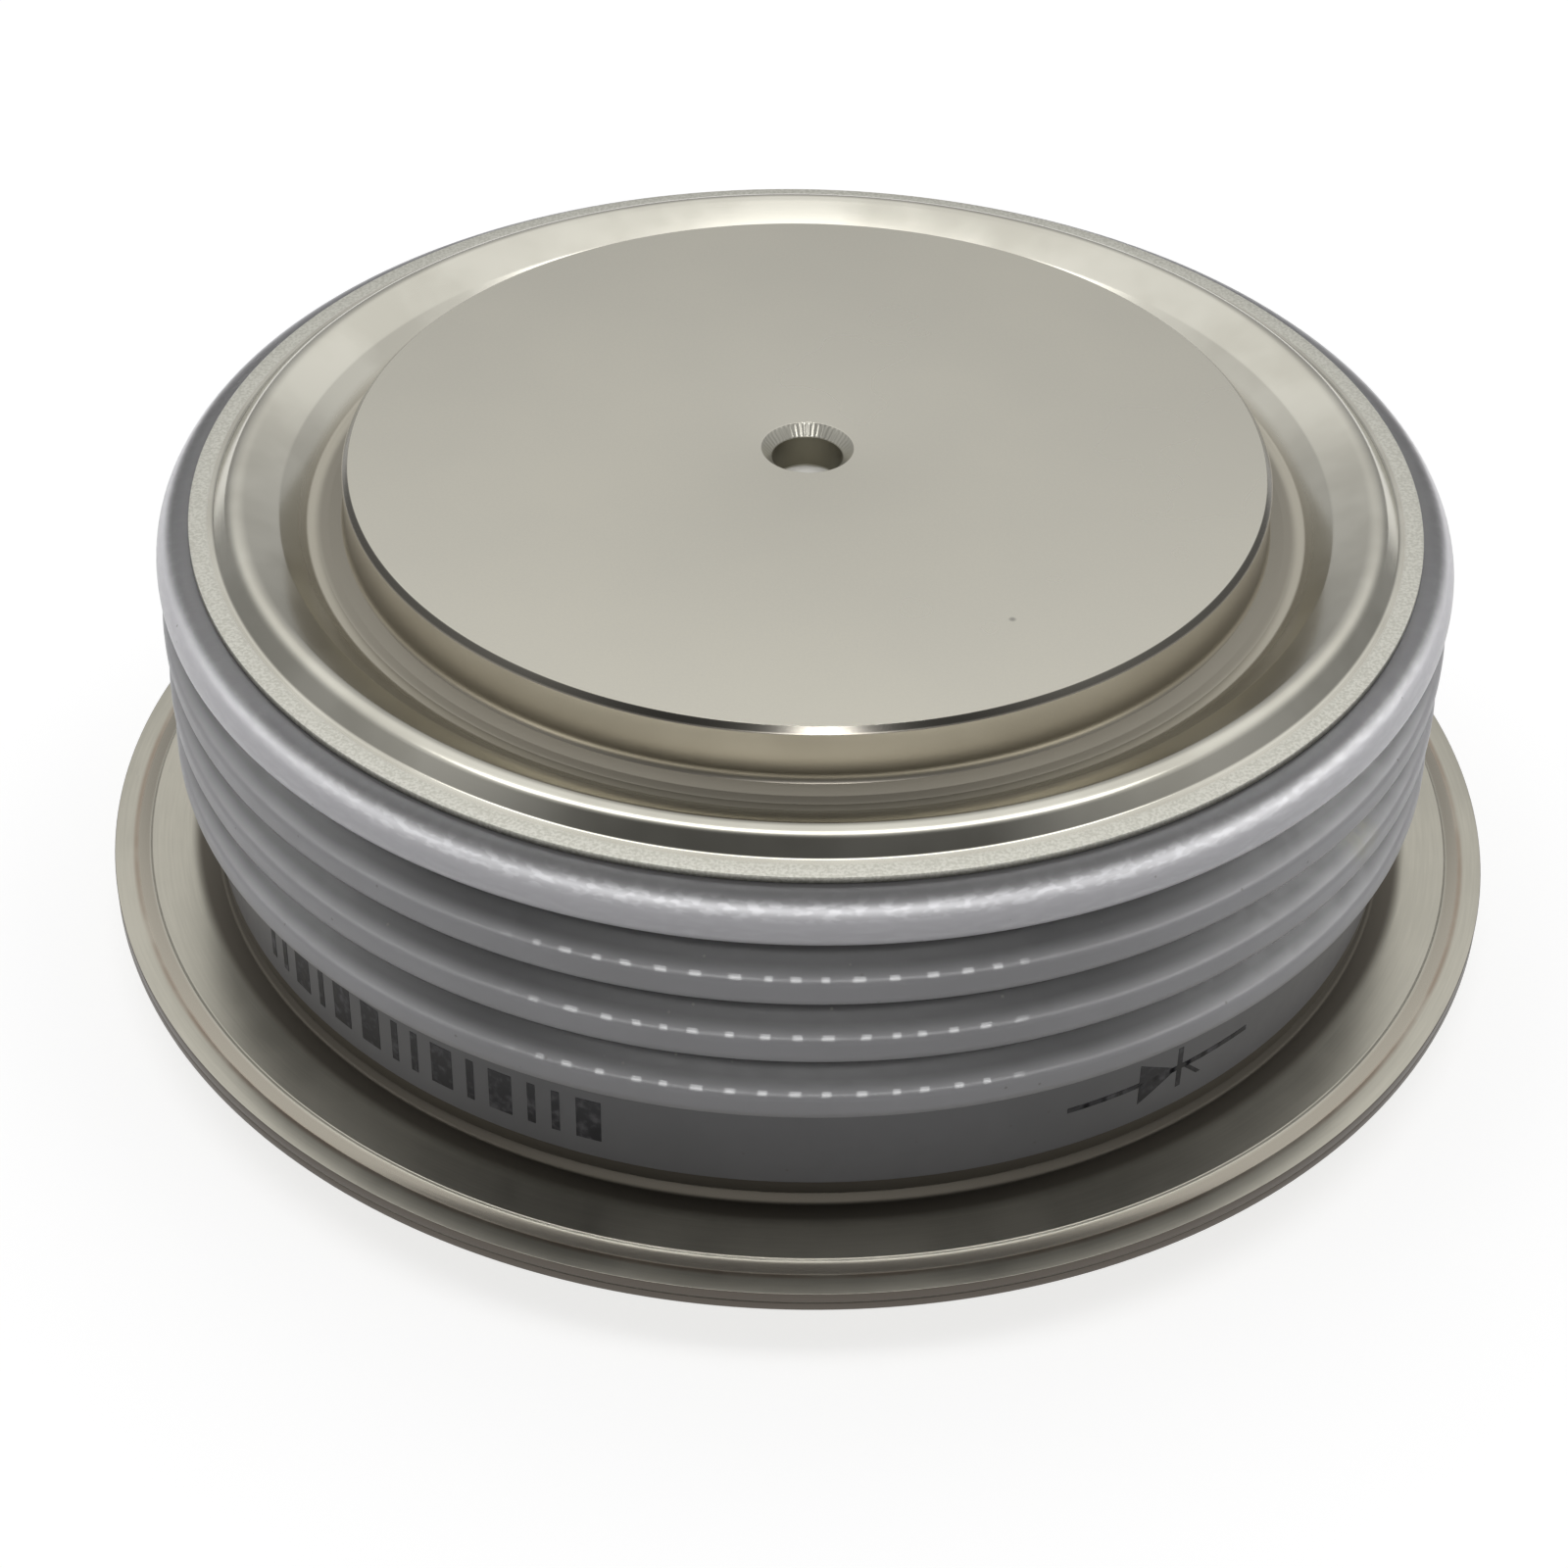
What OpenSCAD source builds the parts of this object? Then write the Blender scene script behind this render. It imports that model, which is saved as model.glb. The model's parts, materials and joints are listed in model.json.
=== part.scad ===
// Press-pack disc thyristor: a silicon wafer held between two copper poles in a ribbed ceramic ring.
// Millimetres. The cathode face lies on z = 0, the anode face is up and the gate tube points to +Y.

/* [Capsule] */
// Height from the cathode face to the anode face
capsule_height = 26.5; // [25:0.1:30]
// Height of the cathode lid's flat underside above the cathode face
lid_standoff = 3; // [2.5:0.1:3.6]
// Reach of the weld flange outside the ceramic band
flange_reach = 5.6; // [4.5:0.1:8]

/* [Poles] */
// Diameter of each pole face
pole_face_d = 47; // [38:0.5:60]
// Chamfer around the ends of a pole
pole_edge = 0.3; // [0.1:0.05:0.6]
// Step from the neck of a pole out to the spigot inside the sheet ring
spigot_step = 0.8; // [0.6:0.05:1.2]
// Radius of the rounded foot of the neck
foot_round = 0.7; // [0.3:0.05:1]
// Step from the spigot out to the body of a pole
shoulder_step = 1; // [0.6:0.05:1.4]
// Diameter of the dowel hole in each pole face
dowel_d = 3.6; // [2.5:0.1:4]
// Depth of each dowel hole
dowel_depth = 2.2; // [1.5:0.1:2.6]
// Height of the drill point's cone below that depth
dowel_point = 0.6; // [0.3:0.05:0.8]
// Chamfer at the mouth of a dowel hole
dowel_chamfer = 0.55; // [0.1:0.05:0.7]

/* [Pressed sheet rings] */
// Thickness of the anode diaphragm
diaphragm_sheet = 0.35; // [0.3:0.05:0.6]
// Thickness of each weld flange
flange_sheet = 0.55; // [0.4:0.05:0.7]
// Gap that braze fills around a spigot, a tube or a wire
braze_gap = 0.05; // [0.02:0.01:0.1]
// Depth of the diaphragm's flat seal ring below the anode face
seal_depth = 2.15; // [2:0.05:2.8]
// Drop from a ring's flat to the floor of the channel around a pole
channel_drop = 1.05; // [0.5:0.05:1.3]
// Width of the channel floor outside the spigot
channel_width = 1.05; // [0.9:0.05:1.6]
// Width of the ramp between the channel and the bead
ramp_width = 1.35; // [1:0.05:2]
// Height of that ramp
ramp_height = 1; // [0.6:0.05:1.3]
// Width of the gentle slope from the ramp to the bead's crest
dome_width = 2.2; // [1.8:0.05:3]
// Height of the bead's crest corner above the ring's flat
bead_height = 1.1; // [0.7:0.05:1.4]
// Width of the bead's outer wall
bead_wall_width = 1.1; // [0.8:0.05:1.4]
// Width of the flat seal ring on the ceramic
seal_width = 1.2; // [0.8:0.05:1.6]
// Radius of the bead's crest and of the ramp's head
crest_round = 0.9; // [0.75:0.05:1.1]
// Radius of the bends beside a flat
bend_round = 0.3; // [0.1:0.05:0.5]

/* [Weld flange] */
// Rise from the flange's flat to the land under the ceramic
land_rise = 0.6; // [0.4:0.05:0.8]
// Width of the slope beside that land
land_slope = 0.6; // [0.5:0.05:1]
// Step from the ceramic's foot in to the head of that slope
land_inset = 0.5; // [0.2:0.05:1]
// Width of the flat cold-welded rim
rim_width = 1.2; // [0.8:0.05:2]
// Width of the slope from the flange down to the rim
rim_slope = 0.8; // [0.5:0.05:1.2]
// Drop from the flange down to the rim
rim_drop = 0.25; // [0.1:0.05:0.4]
// Radius of the flange's bends at the head of a slope
flange_bend = 0.8; // [0.75:0.05:0.9]
// Side of the square groove that shows the weld seam at the edge
seam_groove = 0.18; // [0.06:0.02:0.3]

/* [Ceramic] */
// Bare ceramic left outside the seal ring
seal_margin = 0.2; // [0.1:0.05:0.6]
// Number of ribs
rib_count = 4; // [2:1:5]
// Reach of each rib outside the band
rib_depth = 1.55; // [1.3:0.05:1.7]
// Height of each lower rib's upright face, from corner to corner
rib_face = 1.25; // [1.05:0.05:1.5]
// Height of the slopes above and below that face
rib_flank = 1.125; // [0.9:0.025:1.2]
// Radius of a rib's upper edge
rib_edge = 0.5; // [0.2:0.05:0.8]
// Radius of a rib's lower edge
rib_foot = 0.9; // [0.4:0.05:1]
// Radius of the grooves between the ribs
groove_round = 0.15; // [0.1:0.05:0.4]
// Height of the top rib, from the ceramic's top to its lower corner
top_rib_height = 2.1; // [2:0.05:2.2]
// Radius of the top rib's round shoulder
shoulder_round = 1.5; // [1:0.05:1.55]
// Height of the plated strip at the foot, where the glaze ends
foot_strip = 0.75; // [0.3:0.05:1]
// Thickness of the glaze
glaze = 0.05; // [0.02:0.01:0.1]
// Chamfer at both ends of the ceramic's bore
bore_chamfer = 0.6; // [0.3:0.05:1]

/* [Wafer stack] */
// Thickness of the silicon wafer
wafer_t = 0.5; // [0.3:0.05:0.8]
// Step from a pole's body in to the wafer's edge
wafer_inset = 0.3; // [0.1:0.05:0.8]
// Width of the bevel on the wafer's cathode side
wafer_bevel = 0.6; // [0.2:0.05:1]
// Thickness of the anode molybdenum disc
anode_disc_t = 2.2; // [1.5:0.1:3]
// Thickness of the cathode molybdenum disc
cathode_disc_t = 1.2; // [0.8:0.1:2]
// Step from the wafer's edge in to the cathode molybdenum disc
cathode_disc_inset = 2.5; // [2:0.1:4]
// Space between the cathode molybdenum disc and the rubber coating
coating_space = 0.7; // [0.3:0.05:1]
// Clearance between the rubber coating and the cathode pole
coating_gap = 0.4; // [0.1:0.05:0.6]
// Clearance between the rubber coating and the locating ring
coating_fit = 0.15; // [0.05:0.05:0.2]
// Lap of the rubber coating on the anode molybdenum disc
coating_lap = 0.7; // [0.3:0.05:1.2]
// Clearance of the locating ring around the poles
ring_clear = 0.2; // [0.1:0.05:0.4]
// Wall of the locating ring
ring_wall = 1.7; // [1.2:0.1:2.4]
// Clearance between the locating ring and the ceramic
ring_fit = 0.3; // [0.1:0.05:0.5]
// Overlap of the locating ring with each pole
ring_overlap = 1.5; // [1:0.1:1.8]

/* [Gate] */
// Height from the gate lead's axis up to the cathode pole's inner face
gate_cover = 3.1; // [2.9:0.1:3.6]
// Diameter of the bore in the cathode pole that holds the gate parts
gate_bore_d = 8; // [7:0.1:10]
// Depth of that bore
gate_bore_depth = 7.5; // [7:0.1:8]
// Clearance around the insulating gate parts
gate_clear = 0.1; // [0.05:0.05:0.2]
// Wall of the insulating cup
cup_wall = 0.7; // [0.4:0.05:0.9]
// Floor of the insulating cup
cup_floor = 1; // [0.6:0.05:1.3]
// Thickness of the bush's disc on top of the cup
bush_disc_t = 0.5; // [0.3:0.05:0.8]
// Diameter of the bush's spigot in the cathode molybdenum disc
bush_spigot_d = 5; // [3:0.1:6]
// Clearance between the bush and the wafer
bush_gap = 0.2; // [0.1:0.05:0.4]
// Diameter of the gate pin's tip
pin_tip_d = 1.6; // [1:0.1:2.2]
// Diameter of the gate pin's collar
pin_collar_d = 5; // [4.6:0.1:5.4]
// Thickness of the gate pin's collar
pin_collar_t = 1.4; // [1.2:0.05:1.8]
// Diameter of the gate pin's stem inside the spring
pin_stem_d = 2.4; // [1.6:0.1:2.8]
// Length of that stem
pin_stem_len = 1; // [0.5:0.1:1.6]
// Diameter of the spring's wire
spring_wire_d = 0.5; // [0.3:0.05:0.6]
// Clearance of the spring around the stem
spring_clear = 0.15; // [0.05:0.05:0.3]
// Turns of the spring
spring_turns = 3; // [2:0.5:3]
// Diameter of the gate wire
wire_d = 0.8; // [0.5:0.05:0.9]
// Depth of the wire in the pin's collar
wire_seat = 1; // [0.5:0.1:1.4]
// Wall of the sleeve on the wire
sleeve_wall = 0.6; // [0.5:0.05:0.8]
// Clearance of the sleeve at its ends and in its slot
sleeve_clear = 0.2; // [0.1:0.05:0.3]
// Wall of the gate tube outside the ceramic
tube_wall = 0.3; // [0.2:0.05:0.5]
// Step from the gate tube's outer end to its thicker root
tube_step = 0.25; // [0.2:0.05:0.4]
// Solid end of the gate tube
tube_tip = 0.6; // [0.4:0.05:1]
// Chamfer at the gate tube's tip
tube_edge = 0.25; // [0.1:0.05:0.4]
// Distance of the gate tube's tip inside the flange's edge
tube_setback = 0.5; // [0.2:0.1:1.5]
// Width of the collar's ring around the gate tube
collar_width = 0.65; // [0.4:0.05:0.8]
// Thickness of the collar
collar_t = 0.6; // [0.4:0.05:0.9]
// Depth of the collar's seat in the ceramic band
collar_seat = 0.3; // [0.2:0.05:0.4]

/* [Hidden] */
$fn = 96;

// Overshoot of a cut past the face it opens
cut = 1;
// Straight pieces in each rounded corner
arc_steps = 6;
// Sides of the spring's wire, and rings in one of its turns
spring_sides = 8;
spring_rings = 20;

// Radii, from the poles outwards
pole_r = pole_face_d / 2;
spigot_r = pole_r + spigot_step;
body_r = spigot_r + shoulder_step;
sheet_inner_r = spigot_r + braze_gap;
ramp_foot_r = sheet_inner_r + channel_width;
ramp_head_r = ramp_foot_r + ramp_width;
crest_r = ramp_head_r + dome_width;
bead_foot_r = crest_r + bead_wall_width;
seal_r = bead_foot_r + seal_width;
band_r = seal_r + seal_margin;
rib_r = band_r + rib_depth;
foot_r = band_r - glaze;
land_r = foot_r - land_inset;
flange_r = band_r + flange_reach;
ring_inner_r = body_r + ring_clear;
ring_outer_r = ring_inner_r + ring_wall;
ceramic_bore_r = ring_outer_r + ring_fit;
wafer_r = body_r - wafer_inset;
cathode_disc_r = wafer_r - cathode_disc_inset;
// The foot's fillet stays inside the spigot's step
neck_fillet = min(foot_round, 0.9 * spigot_step);

// Heights of the shell, from the cathode face up
seam_z = lid_standoff + flange_sheet;
rim_z = seam_z + flange_sheet;
flange_z = rim_z + rim_drop;
ceramic_foot_z = flange_z + land_rise;
anode_flat_z = capsule_height - seal_depth;
ceramic_top_z = anode_flat_z - diaphragm_sheet;
rib_pitch = rib_face + 2 * rib_flank;
first_groove_z = ceramic_top_z - top_rib_height - rib_flank;
last_groove_z = first_groove_z - (rib_count - 1) * rib_pitch;

// Heights of the stack: the gate lead leaves through the middle of the ceramic's plain band
gate_z = (ceramic_foot_z + foot_strip + last_groove_z) / 2;
cathode_inner_z = gate_z + gate_cover;
wafer_z = cathode_inner_z + cathode_disc_t;
anode_disc_z = wafer_z + wafer_t;
anode_inner_z = anode_disc_z + anode_disc_t;

// Gate sizes
gate_bore_r = gate_bore_d / 2;
gate_bore_z = cathode_inner_z - gate_bore_depth;
cup_r = gate_bore_r - gate_clear;
bush_z = cathode_inner_z - bush_disc_t;
spring_z = gate_bore_z + cup_floor;
pin_collar_r = pin_collar_d / 2;
pin_collar_z = gate_z - pin_collar_t / 2;
wire_r = wire_d / 2;
wire_hole_r = wire_r + braze_gap;
sleeve_r = wire_hole_r + sleeve_wall;
slot_w = 2 * (sleeve_r + sleeve_clear);
terminal_r = wire_hole_r + tube_wall;
tube_root_r = terminal_r + tube_step;
tube_hole_r = tube_root_r + braze_gap;
tube_end = flange_r - tube_setback;
collar_r = tube_hole_r + collar_width;
collar_start = band_r - collar_seat;
collar_end = collar_start + collar_t;
wire_end = tube_end - tube_tip;

// Unit vector from one point towards another
function towards(a, b) = (b - a) / norm(b - a);

// Points of the arc that rounds the corner b between its neighbours a and c
function rounded_corner(a, b, c, radius) =
    let (
        u = towards(b, a),
        v = towards(b, c),
        half = acos(u * v) / 2,
        centre = b + towards([0, 0], u + v) * radius / sin(half),
        first = b + u * radius / tan(half) - centre,
        last = b + v * radius / tan(half) - centre,
        start = atan2(first.y, first.x),
        turn = sign(cross(first, last)) * (180 - 2 * half)
    )
    [for (i = [0 : arc_steps]) let (a = start + turn * i / arc_steps) centre + radius * [cos(a), sin(a)]];

// Path through corners, each given as [radius from the axis, height, rounding]
function rounded_path(corners) =
    let (points = [for (corner = corners) [corner.x, corner.y]], last = len(corners) - 1)
    [
        for (i = [0 : last])
            each i == 0 || i == last || corners[i].z == 0
                ? [points[i]]
                : rounded_corner(points[i - 1], points[i], points[i + 1], corners[i].z)
    ];

// The same path moved sideways, to the right of its direction when t is positive
function beside(path, t) = [
    for (i = [0 : len(path) - 1])
        let (
            before = i > 0 ? towards(path[i - 1], path[i]) : towards(path[0], path[1]),
            after = i < len(path) - 1 ? towards(path[i], path[i + 1]) : before,
            middle = towards([0, 0], before + after),
            right = [middle.y, -middle.x]
        )
        path[i] + right * t / (right * [before.y, -before.x])
];

// Ring of sheet of thickness t, from the corners of its visible side
module sheet_ring(corners, t) {
    path = rounded_path(corners);
    back = beside(path, t);
    rotate_extrude() polygon([each path, for (i = [len(back) - 1 : -1 : 0]) back[i]]);
}

// Corners of a sheet ring's visible side from the pole to its flat, with its bead up (1) or down (-1)
function bead_corners(flat_z, way) = [
    [sheet_inner_r, flat_z - way * channel_drop, 0],
    [ramp_foot_r, flat_z - way * channel_drop, bend_round],
    [ramp_head_r, flat_z + way * (ramp_height - channel_drop), crest_round],
    [crest_r, flat_z + way * bead_height, crest_round],
    [bead_foot_r, flat_z, bend_round]
];

// Pole with its face on z = 0 and its body above, for a sheet ring whose channel is floor_depth deep
module pole_blank(length, floor_depth, sheet) {
    seat = floor_depth + sheet;
    difference() {
        rotate_extrude() polygon(rounded_path([
            [0, 0, 0],
            [pole_r - pole_edge, 0, 0],
            [pole_r, pole_edge, 0],
            [pole_r, floor_depth, neck_fillet],
            [spigot_r, floor_depth, 0],
            [spigot_r, seat, 0],
            [body_r, seat, 0],
            [body_r, length - pole_edge, 0],
            [body_r - pole_edge, length, 0],
            [0, length, 0]
        ]));
        translate([0, 0, -cut]) cylinder(h = cut + dowel_depth, d = dowel_d);
        translate([0, 0, dowel_depth]) cylinder(h = dowel_point, d1 = dowel_d, d2 = 0);
        translate([0, 0, -cut]) cylinder(
            h = cut + dowel_chamfer,
            d1 = dowel_d + 2 * (dowel_chamfer + cut),
            d2 = dowel_d
        );
    }
}

// Round bar along the gate lead, from one distance to another out from the axis
module gate_bar(r, from, to) {
    translate([0, from, gate_z]) rotate([-90, 0, 0]) cylinder(h = to - from, r = r);
}

// Groove around the edge of the two flanges, where the weld seam shows
module weld_seam() {
    rotate_extrude() translate([flange_r, seam_z]) rotate(45) square(seam_groove, center = true);
}

// Corners of the rib under the groove at groove_z, and of the groove below that rib
function rib_corners(groove_z) = [
    [rib_r, groove_z - rib_flank, rib_edge],
    [rib_r, groove_z - rib_flank - rib_face, rib_foot],
    [band_r, groove_z - rib_pitch, groove_round]
];

module ceramic_section() {
    polygon(rounded_path([
        [ceramic_bore_r, ceramic_top_z - bore_chamfer, 0],
        [ceramic_bore_r + bore_chamfer, ceramic_top_z, 0],
        [rib_r, ceramic_top_z, shoulder_round],
        [rib_r, ceramic_top_z - top_rib_height, rib_foot],
        [band_r, first_groove_z, groove_round],
        for (i = [0 : rib_count - 2]) each rib_corners(first_groove_z - i * rib_pitch),
        [band_r, ceramic_foot_z + foot_strip, 0],
        [foot_r, ceramic_foot_z + foot_strip, 0],
        [foot_r, ceramic_foot_z, 0],
        [ceramic_bore_r + bore_chamfer, ceramic_foot_z, 0],
        [ceramic_bore_r, ceramic_foot_z + bore_chamfer, 0]
    ]));
}

module ceramic_housing() {
    color("#c4c4ca") difference() {
        rotate_extrude() ceramic_section();
        gate_bar(tube_hole_r, ceramic_bore_r - cut, band_r + cut);
        gate_bar(collar_r + gate_clear, collar_start, band_r + cut);
    }
}

module anode_pole() {
    color("#b4b1a3") translate([0, 0, capsule_height]) mirror([0, 0, 1])
        pole_blank(capsule_height - anode_inner_z, seal_depth + channel_drop, diaphragm_sheet);
}

module cathode_pole() {
    color("#b4b1a3") difference() {
        pole_blank(cathode_inner_z, lid_standoff + channel_drop, flange_sheet);
        translate([0, 0, gate_bore_z]) cylinder(h = gate_bore_depth + cut, d = gate_bore_d);
        translate([-slot_w / 2, 0, gate_z - slot_w / 2])
            cube([slot_w, body_r + cut, gate_cover + slot_w / 2 + cut]);
    }
}

module anode_diaphragm() {
    color("#c3c2b8")
        sheet_ring([each bead_corners(anode_flat_z, 1), [seal_r, anode_flat_z, 0]], diaphragm_sheet);
}

module ceramic_flange() {
    color("#aaa898") difference() {
        sheet_ring([
            [ceramic_bore_r + bore_chamfer, ceramic_foot_z, 0],
            [land_r, ceramic_foot_z, flange_bend],
            [land_r + land_slope, flange_z, bend_round],
            [flange_r - rim_width - rim_slope, flange_z, flange_bend],
            [flange_r - rim_width, rim_z, bend_round],
            [flange_r, rim_z, 0]
        ], flange_sheet);
        weld_seam();
    }
}

module cathode_lid() {
    color("#a09d90") difference() {
        sheet_ring([each bead_corners(lid_standoff, -1), [flange_r, lid_standoff, 0]], -flange_sheet);
        weld_seam();
    }
}

module anode_moly_disc() {
    color("#8b8d92") translate([0, 0, anode_disc_z]) cylinder(h = anode_disc_t, r = wafer_r);
}

module silicon_wafer() {
    color("#3c4148") translate([0, 0, wafer_z])
        cylinder(h = wafer_t, r1 = wafer_r - wafer_bevel, r2 = wafer_r);
}

module edge_coating() {
    inner_r = cathode_disc_r + coating_space;
    outer_r = ring_inner_r - coating_fit;
    bottom_z = cathode_inner_z + coating_gap;
    top_z = anode_disc_z + coating_lap;
    color("#8c3f2e") rotate_extrude() polygon([
        [inner_r, bottom_z],
        [outer_r, bottom_z],
        [outer_r, top_z],
        [wafer_r, top_z],
        [wafer_r, anode_disc_z],
        [wafer_r - wafer_bevel, wafer_z],
        [inner_r, wafer_z]
    ]);
}

module cathode_moly_disc() {
    color("#8b8d92") difference() {
        translate([0, 0, cathode_inner_z]) cylinder(h = cathode_disc_t, r = cathode_disc_r);
        translate([0, 0, cathode_inner_z - cut])
            cylinder(h = cathode_disc_t + 2 * cut, d = bush_spigot_d + 2 * gate_clear);
    }
}

module locating_ring() {
    bottom_z = cathode_inner_z - ring_overlap;
    color("#e9e8e2") difference() {
        translate([0, 0, bottom_z])
            cylinder(h = anode_inner_z + ring_overlap - bottom_z, r = ring_outer_r);
        translate([0, 0, bottom_z - cut])
            cylinder(h = anode_inner_z + ring_overlap - bottom_z + 2 * cut, r = ring_inner_r);
    }
}

module gate_cup() {
    color("#efece0") difference() {
        translate([0, 0, gate_bore_z]) cylinder(h = bush_z - gate_bore_z, r = cup_r);
        translate([0, 0, spring_z]) cylinder(h = bush_z - spring_z + cut, r = cup_r - cup_wall);
        translate([-wire_hole_r, 0, gate_z - wire_hole_r])
            cube([2 * wire_hole_r, gate_bore_r + cut, bush_z - gate_z + wire_hole_r + cut]);
    }
}

module gate_bush() {
    top_z = wafer_z - bush_gap;
    color("#d9d4c4") difference() {
        union() {
            translate([0, 0, bush_z]) cylinder(h = bush_disc_t, r = cup_r);
            translate([0, 0, bush_z]) cylinder(h = top_z - bush_z, d = bush_spigot_d);
        }
        translate([0, 0, bush_z - cut])
            cylinder(h = top_z - bush_z + 2 * cut, d = pin_tip_d + 2 * gate_clear);
    }
}

module gate_pin() {
    color("#d8d6cf") difference() {
        union() {
            translate([0, 0, pin_collar_z - pin_stem_len])
                cylinder(h = pin_stem_len + pin_collar_t, d = pin_stem_d);
            translate([0, 0, pin_collar_z]) cylinder(h = pin_collar_t, r = pin_collar_r);
            translate([0, 0, pin_collar_z]) cylinder(h = wafer_z - pin_collar_z, d = pin_tip_d);
        }
        gate_bar(wire_hole_r, pin_collar_r - wire_seat, pin_collar_r + cut);
    }
}

// Coil of round wire between the cup's floor and the pin's collar
module gate_spring() {
    wire = spring_wire_d / 2;
    coil_r = pin_stem_d / 2 + spring_clear + wire;
    rise = pin_collar_z - spring_z - spring_wire_d;
    rings = ceil(spring_turns * spring_rings);
    points = [
        for (i = [0 : rings], k = [0 : spring_sides - 1])
            let (
                turn = 360 * spring_turns * i / rings,
                side = 360 * k / spring_sides,
                r = coil_r + wire * cos(side)
            )
            [r * cos(turn), r * sin(turn), spring_z + wire + rise * i / rings + wire * sin(side)]
    ];
    sides = [
        for (i = [0 : rings - 1], k = [0 : spring_sides - 1])
            let (next = (k + 1) % spring_sides, low = i * spring_sides, high = low + spring_sides)
            [low + k, high + k, high + next, low + next]
    ];
    start = [for (k = [0 : spring_sides - 1]) k];
    end = [for (k = [spring_sides - 1 : -1 : 0]) rings * spring_sides + k];
    color("#9a9a96") polyhedron(points, [start, each sides, end], convexity = 4);
}

module gate_wire() {
    color("#c58a52") gate_bar(wire_r, pin_collar_r - wire_seat, wire_end);
}

module gate_sleeve() {
    start = gate_bore_r + sleeve_clear;
    end = ceramic_bore_r - sleeve_clear;
    color("#e4e0d2") difference() {
        gate_bar(sleeve_r, start, end);
        gate_bar(wire_hole_r, start - cut, end + cut);
    }
}

module gate_tube() {
    color("#b4b1a3") difference() {
        union() {
            gate_bar(tube_root_r, ceramic_bore_r, collar_end);
            gate_bar(terminal_r, ceramic_bore_r, tube_end - tube_edge);
            translate([0, tube_end - tube_edge, gate_z]) rotate([-90, 0, 0])
                cylinder(h = tube_edge, r1 = terminal_r, r2 = terminal_r - tube_edge);
        }
        gate_bar(wire_hole_r, ceramic_bore_r - cut, wire_end);
    }
}

module gate_collar() {
    color("#aaa898") difference() {
        gate_bar(collar_r, collar_start, collar_end);
        gate_bar(tube_hole_r, collar_start - cut, collar_end + cut);
    }
}

ceramic_housing();
anode_pole();
cathode_pole();
anode_diaphragm();
ceramic_flange();
cathode_lid();
anode_moly_disc();
silicon_wafer();
edge_coating();
cathode_moly_disc();
locating_ring();
gate_cup();
gate_bush();
gate_spring();
gate_pin();
gate_wire();
gate_sleeve();
gate_tube();
gate_collar();
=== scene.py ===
import json
import math
import bmesh
import bpy
from mathutils import Matrix, Vector


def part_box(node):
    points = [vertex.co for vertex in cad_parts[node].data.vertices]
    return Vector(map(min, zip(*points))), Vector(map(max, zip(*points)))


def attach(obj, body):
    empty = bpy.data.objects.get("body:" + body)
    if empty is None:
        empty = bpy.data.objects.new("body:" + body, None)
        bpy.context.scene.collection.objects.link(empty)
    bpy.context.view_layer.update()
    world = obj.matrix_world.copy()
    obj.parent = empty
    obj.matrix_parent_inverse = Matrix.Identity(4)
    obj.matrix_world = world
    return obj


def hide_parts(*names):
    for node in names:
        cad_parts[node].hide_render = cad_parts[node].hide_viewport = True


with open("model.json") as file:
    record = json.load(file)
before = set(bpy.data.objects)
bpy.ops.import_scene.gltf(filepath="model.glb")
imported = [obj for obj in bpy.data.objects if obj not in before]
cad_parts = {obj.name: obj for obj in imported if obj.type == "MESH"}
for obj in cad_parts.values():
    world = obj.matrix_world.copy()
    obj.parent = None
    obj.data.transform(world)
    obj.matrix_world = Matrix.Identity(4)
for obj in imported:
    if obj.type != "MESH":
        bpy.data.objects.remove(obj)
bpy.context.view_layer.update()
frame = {"nodes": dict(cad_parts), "record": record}
scene = bpy.context.scene
mm = 0.001  # sizes in the dictionaries below are millimetres
fullTurn = 2 * math.pi
print("frame loaded:", len(frame["nodes"]), "nodes")


def boxOf(node):  # a node's lowest and highest corner in millimetres
    low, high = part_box(node)
    return low / mm, high / mm


# node helpers

def put(tree, kind, inputs=None, **settings):  # adds a node: sockets are linked, other values are set
    made = tree.nodes.new(kind)
    for name, value in settings.items():
        setattr(made, name, value)
    for key, value in (inputs or {}).items():
        if isinstance(value, bpy.types.NodeSocket):
            tree.links.new(value, made.inputs[key])
        else:
            made.inputs[key].default_value = value
    return made


def calc(tree, operation, *values):  # math on sockets or numbers
    return put(tree, "ShaderNodeMath", dict(enumerate(values)), operation=operation).outputs[0]


def whole(tree, operation, *values):  # the same on whole numbers
    return put(tree, "FunctionNodeIntegerMath", dict(enumerate(values)), operation=operation).outputs[0]


def times(tree, first, second):
    return calc(tree, "MULTIPLY", first, second)


# Geometry Nodes trees: a profile turned about the axis, the ribbed ring that uses it, and a wrapped print

def newTree(name, inputs):
    tree = bpy.data.node_groups.new(name, "GeometryNodeTree")
    tree.interface.new_socket("Geometry", in_out="INPUT", socket_type="NodeSocketGeometry")
    for label, kind in inputs.items():
        tree.interface.new_socket(label, in_out="INPUT", socket_type="NodeSocket" + kind)
    tree.interface.new_socket("Geometry", in_out="OUTPUT", socket_type="NodeSocketGeometry")
    return tree, tree.nodes.new("NodeGroupInput").outputs


def closeTree(tree, geometry, material):
    realized = put(tree, "GeometryNodeRealizeInstances", {"Geometry": geometry}).outputs[0]
    painted = put(tree, "GeometryNodeSetMaterial", {"Geometry": realized, "Material": material})
    put(tree, "NodeGroupOutput", {"Geometry": painted.outputs[0]})
    return tree


def movedTo(tree, geometry, x, y, z):
    spot = put(tree, "ShaderNodeCombineXYZ", {"X": x, "Y": y, "Z": z}).outputs[0]
    return put(tree, "GeometryNodeSetPosition", {"Geometry": geometry, "Position": spot}).outputs[0]


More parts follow.
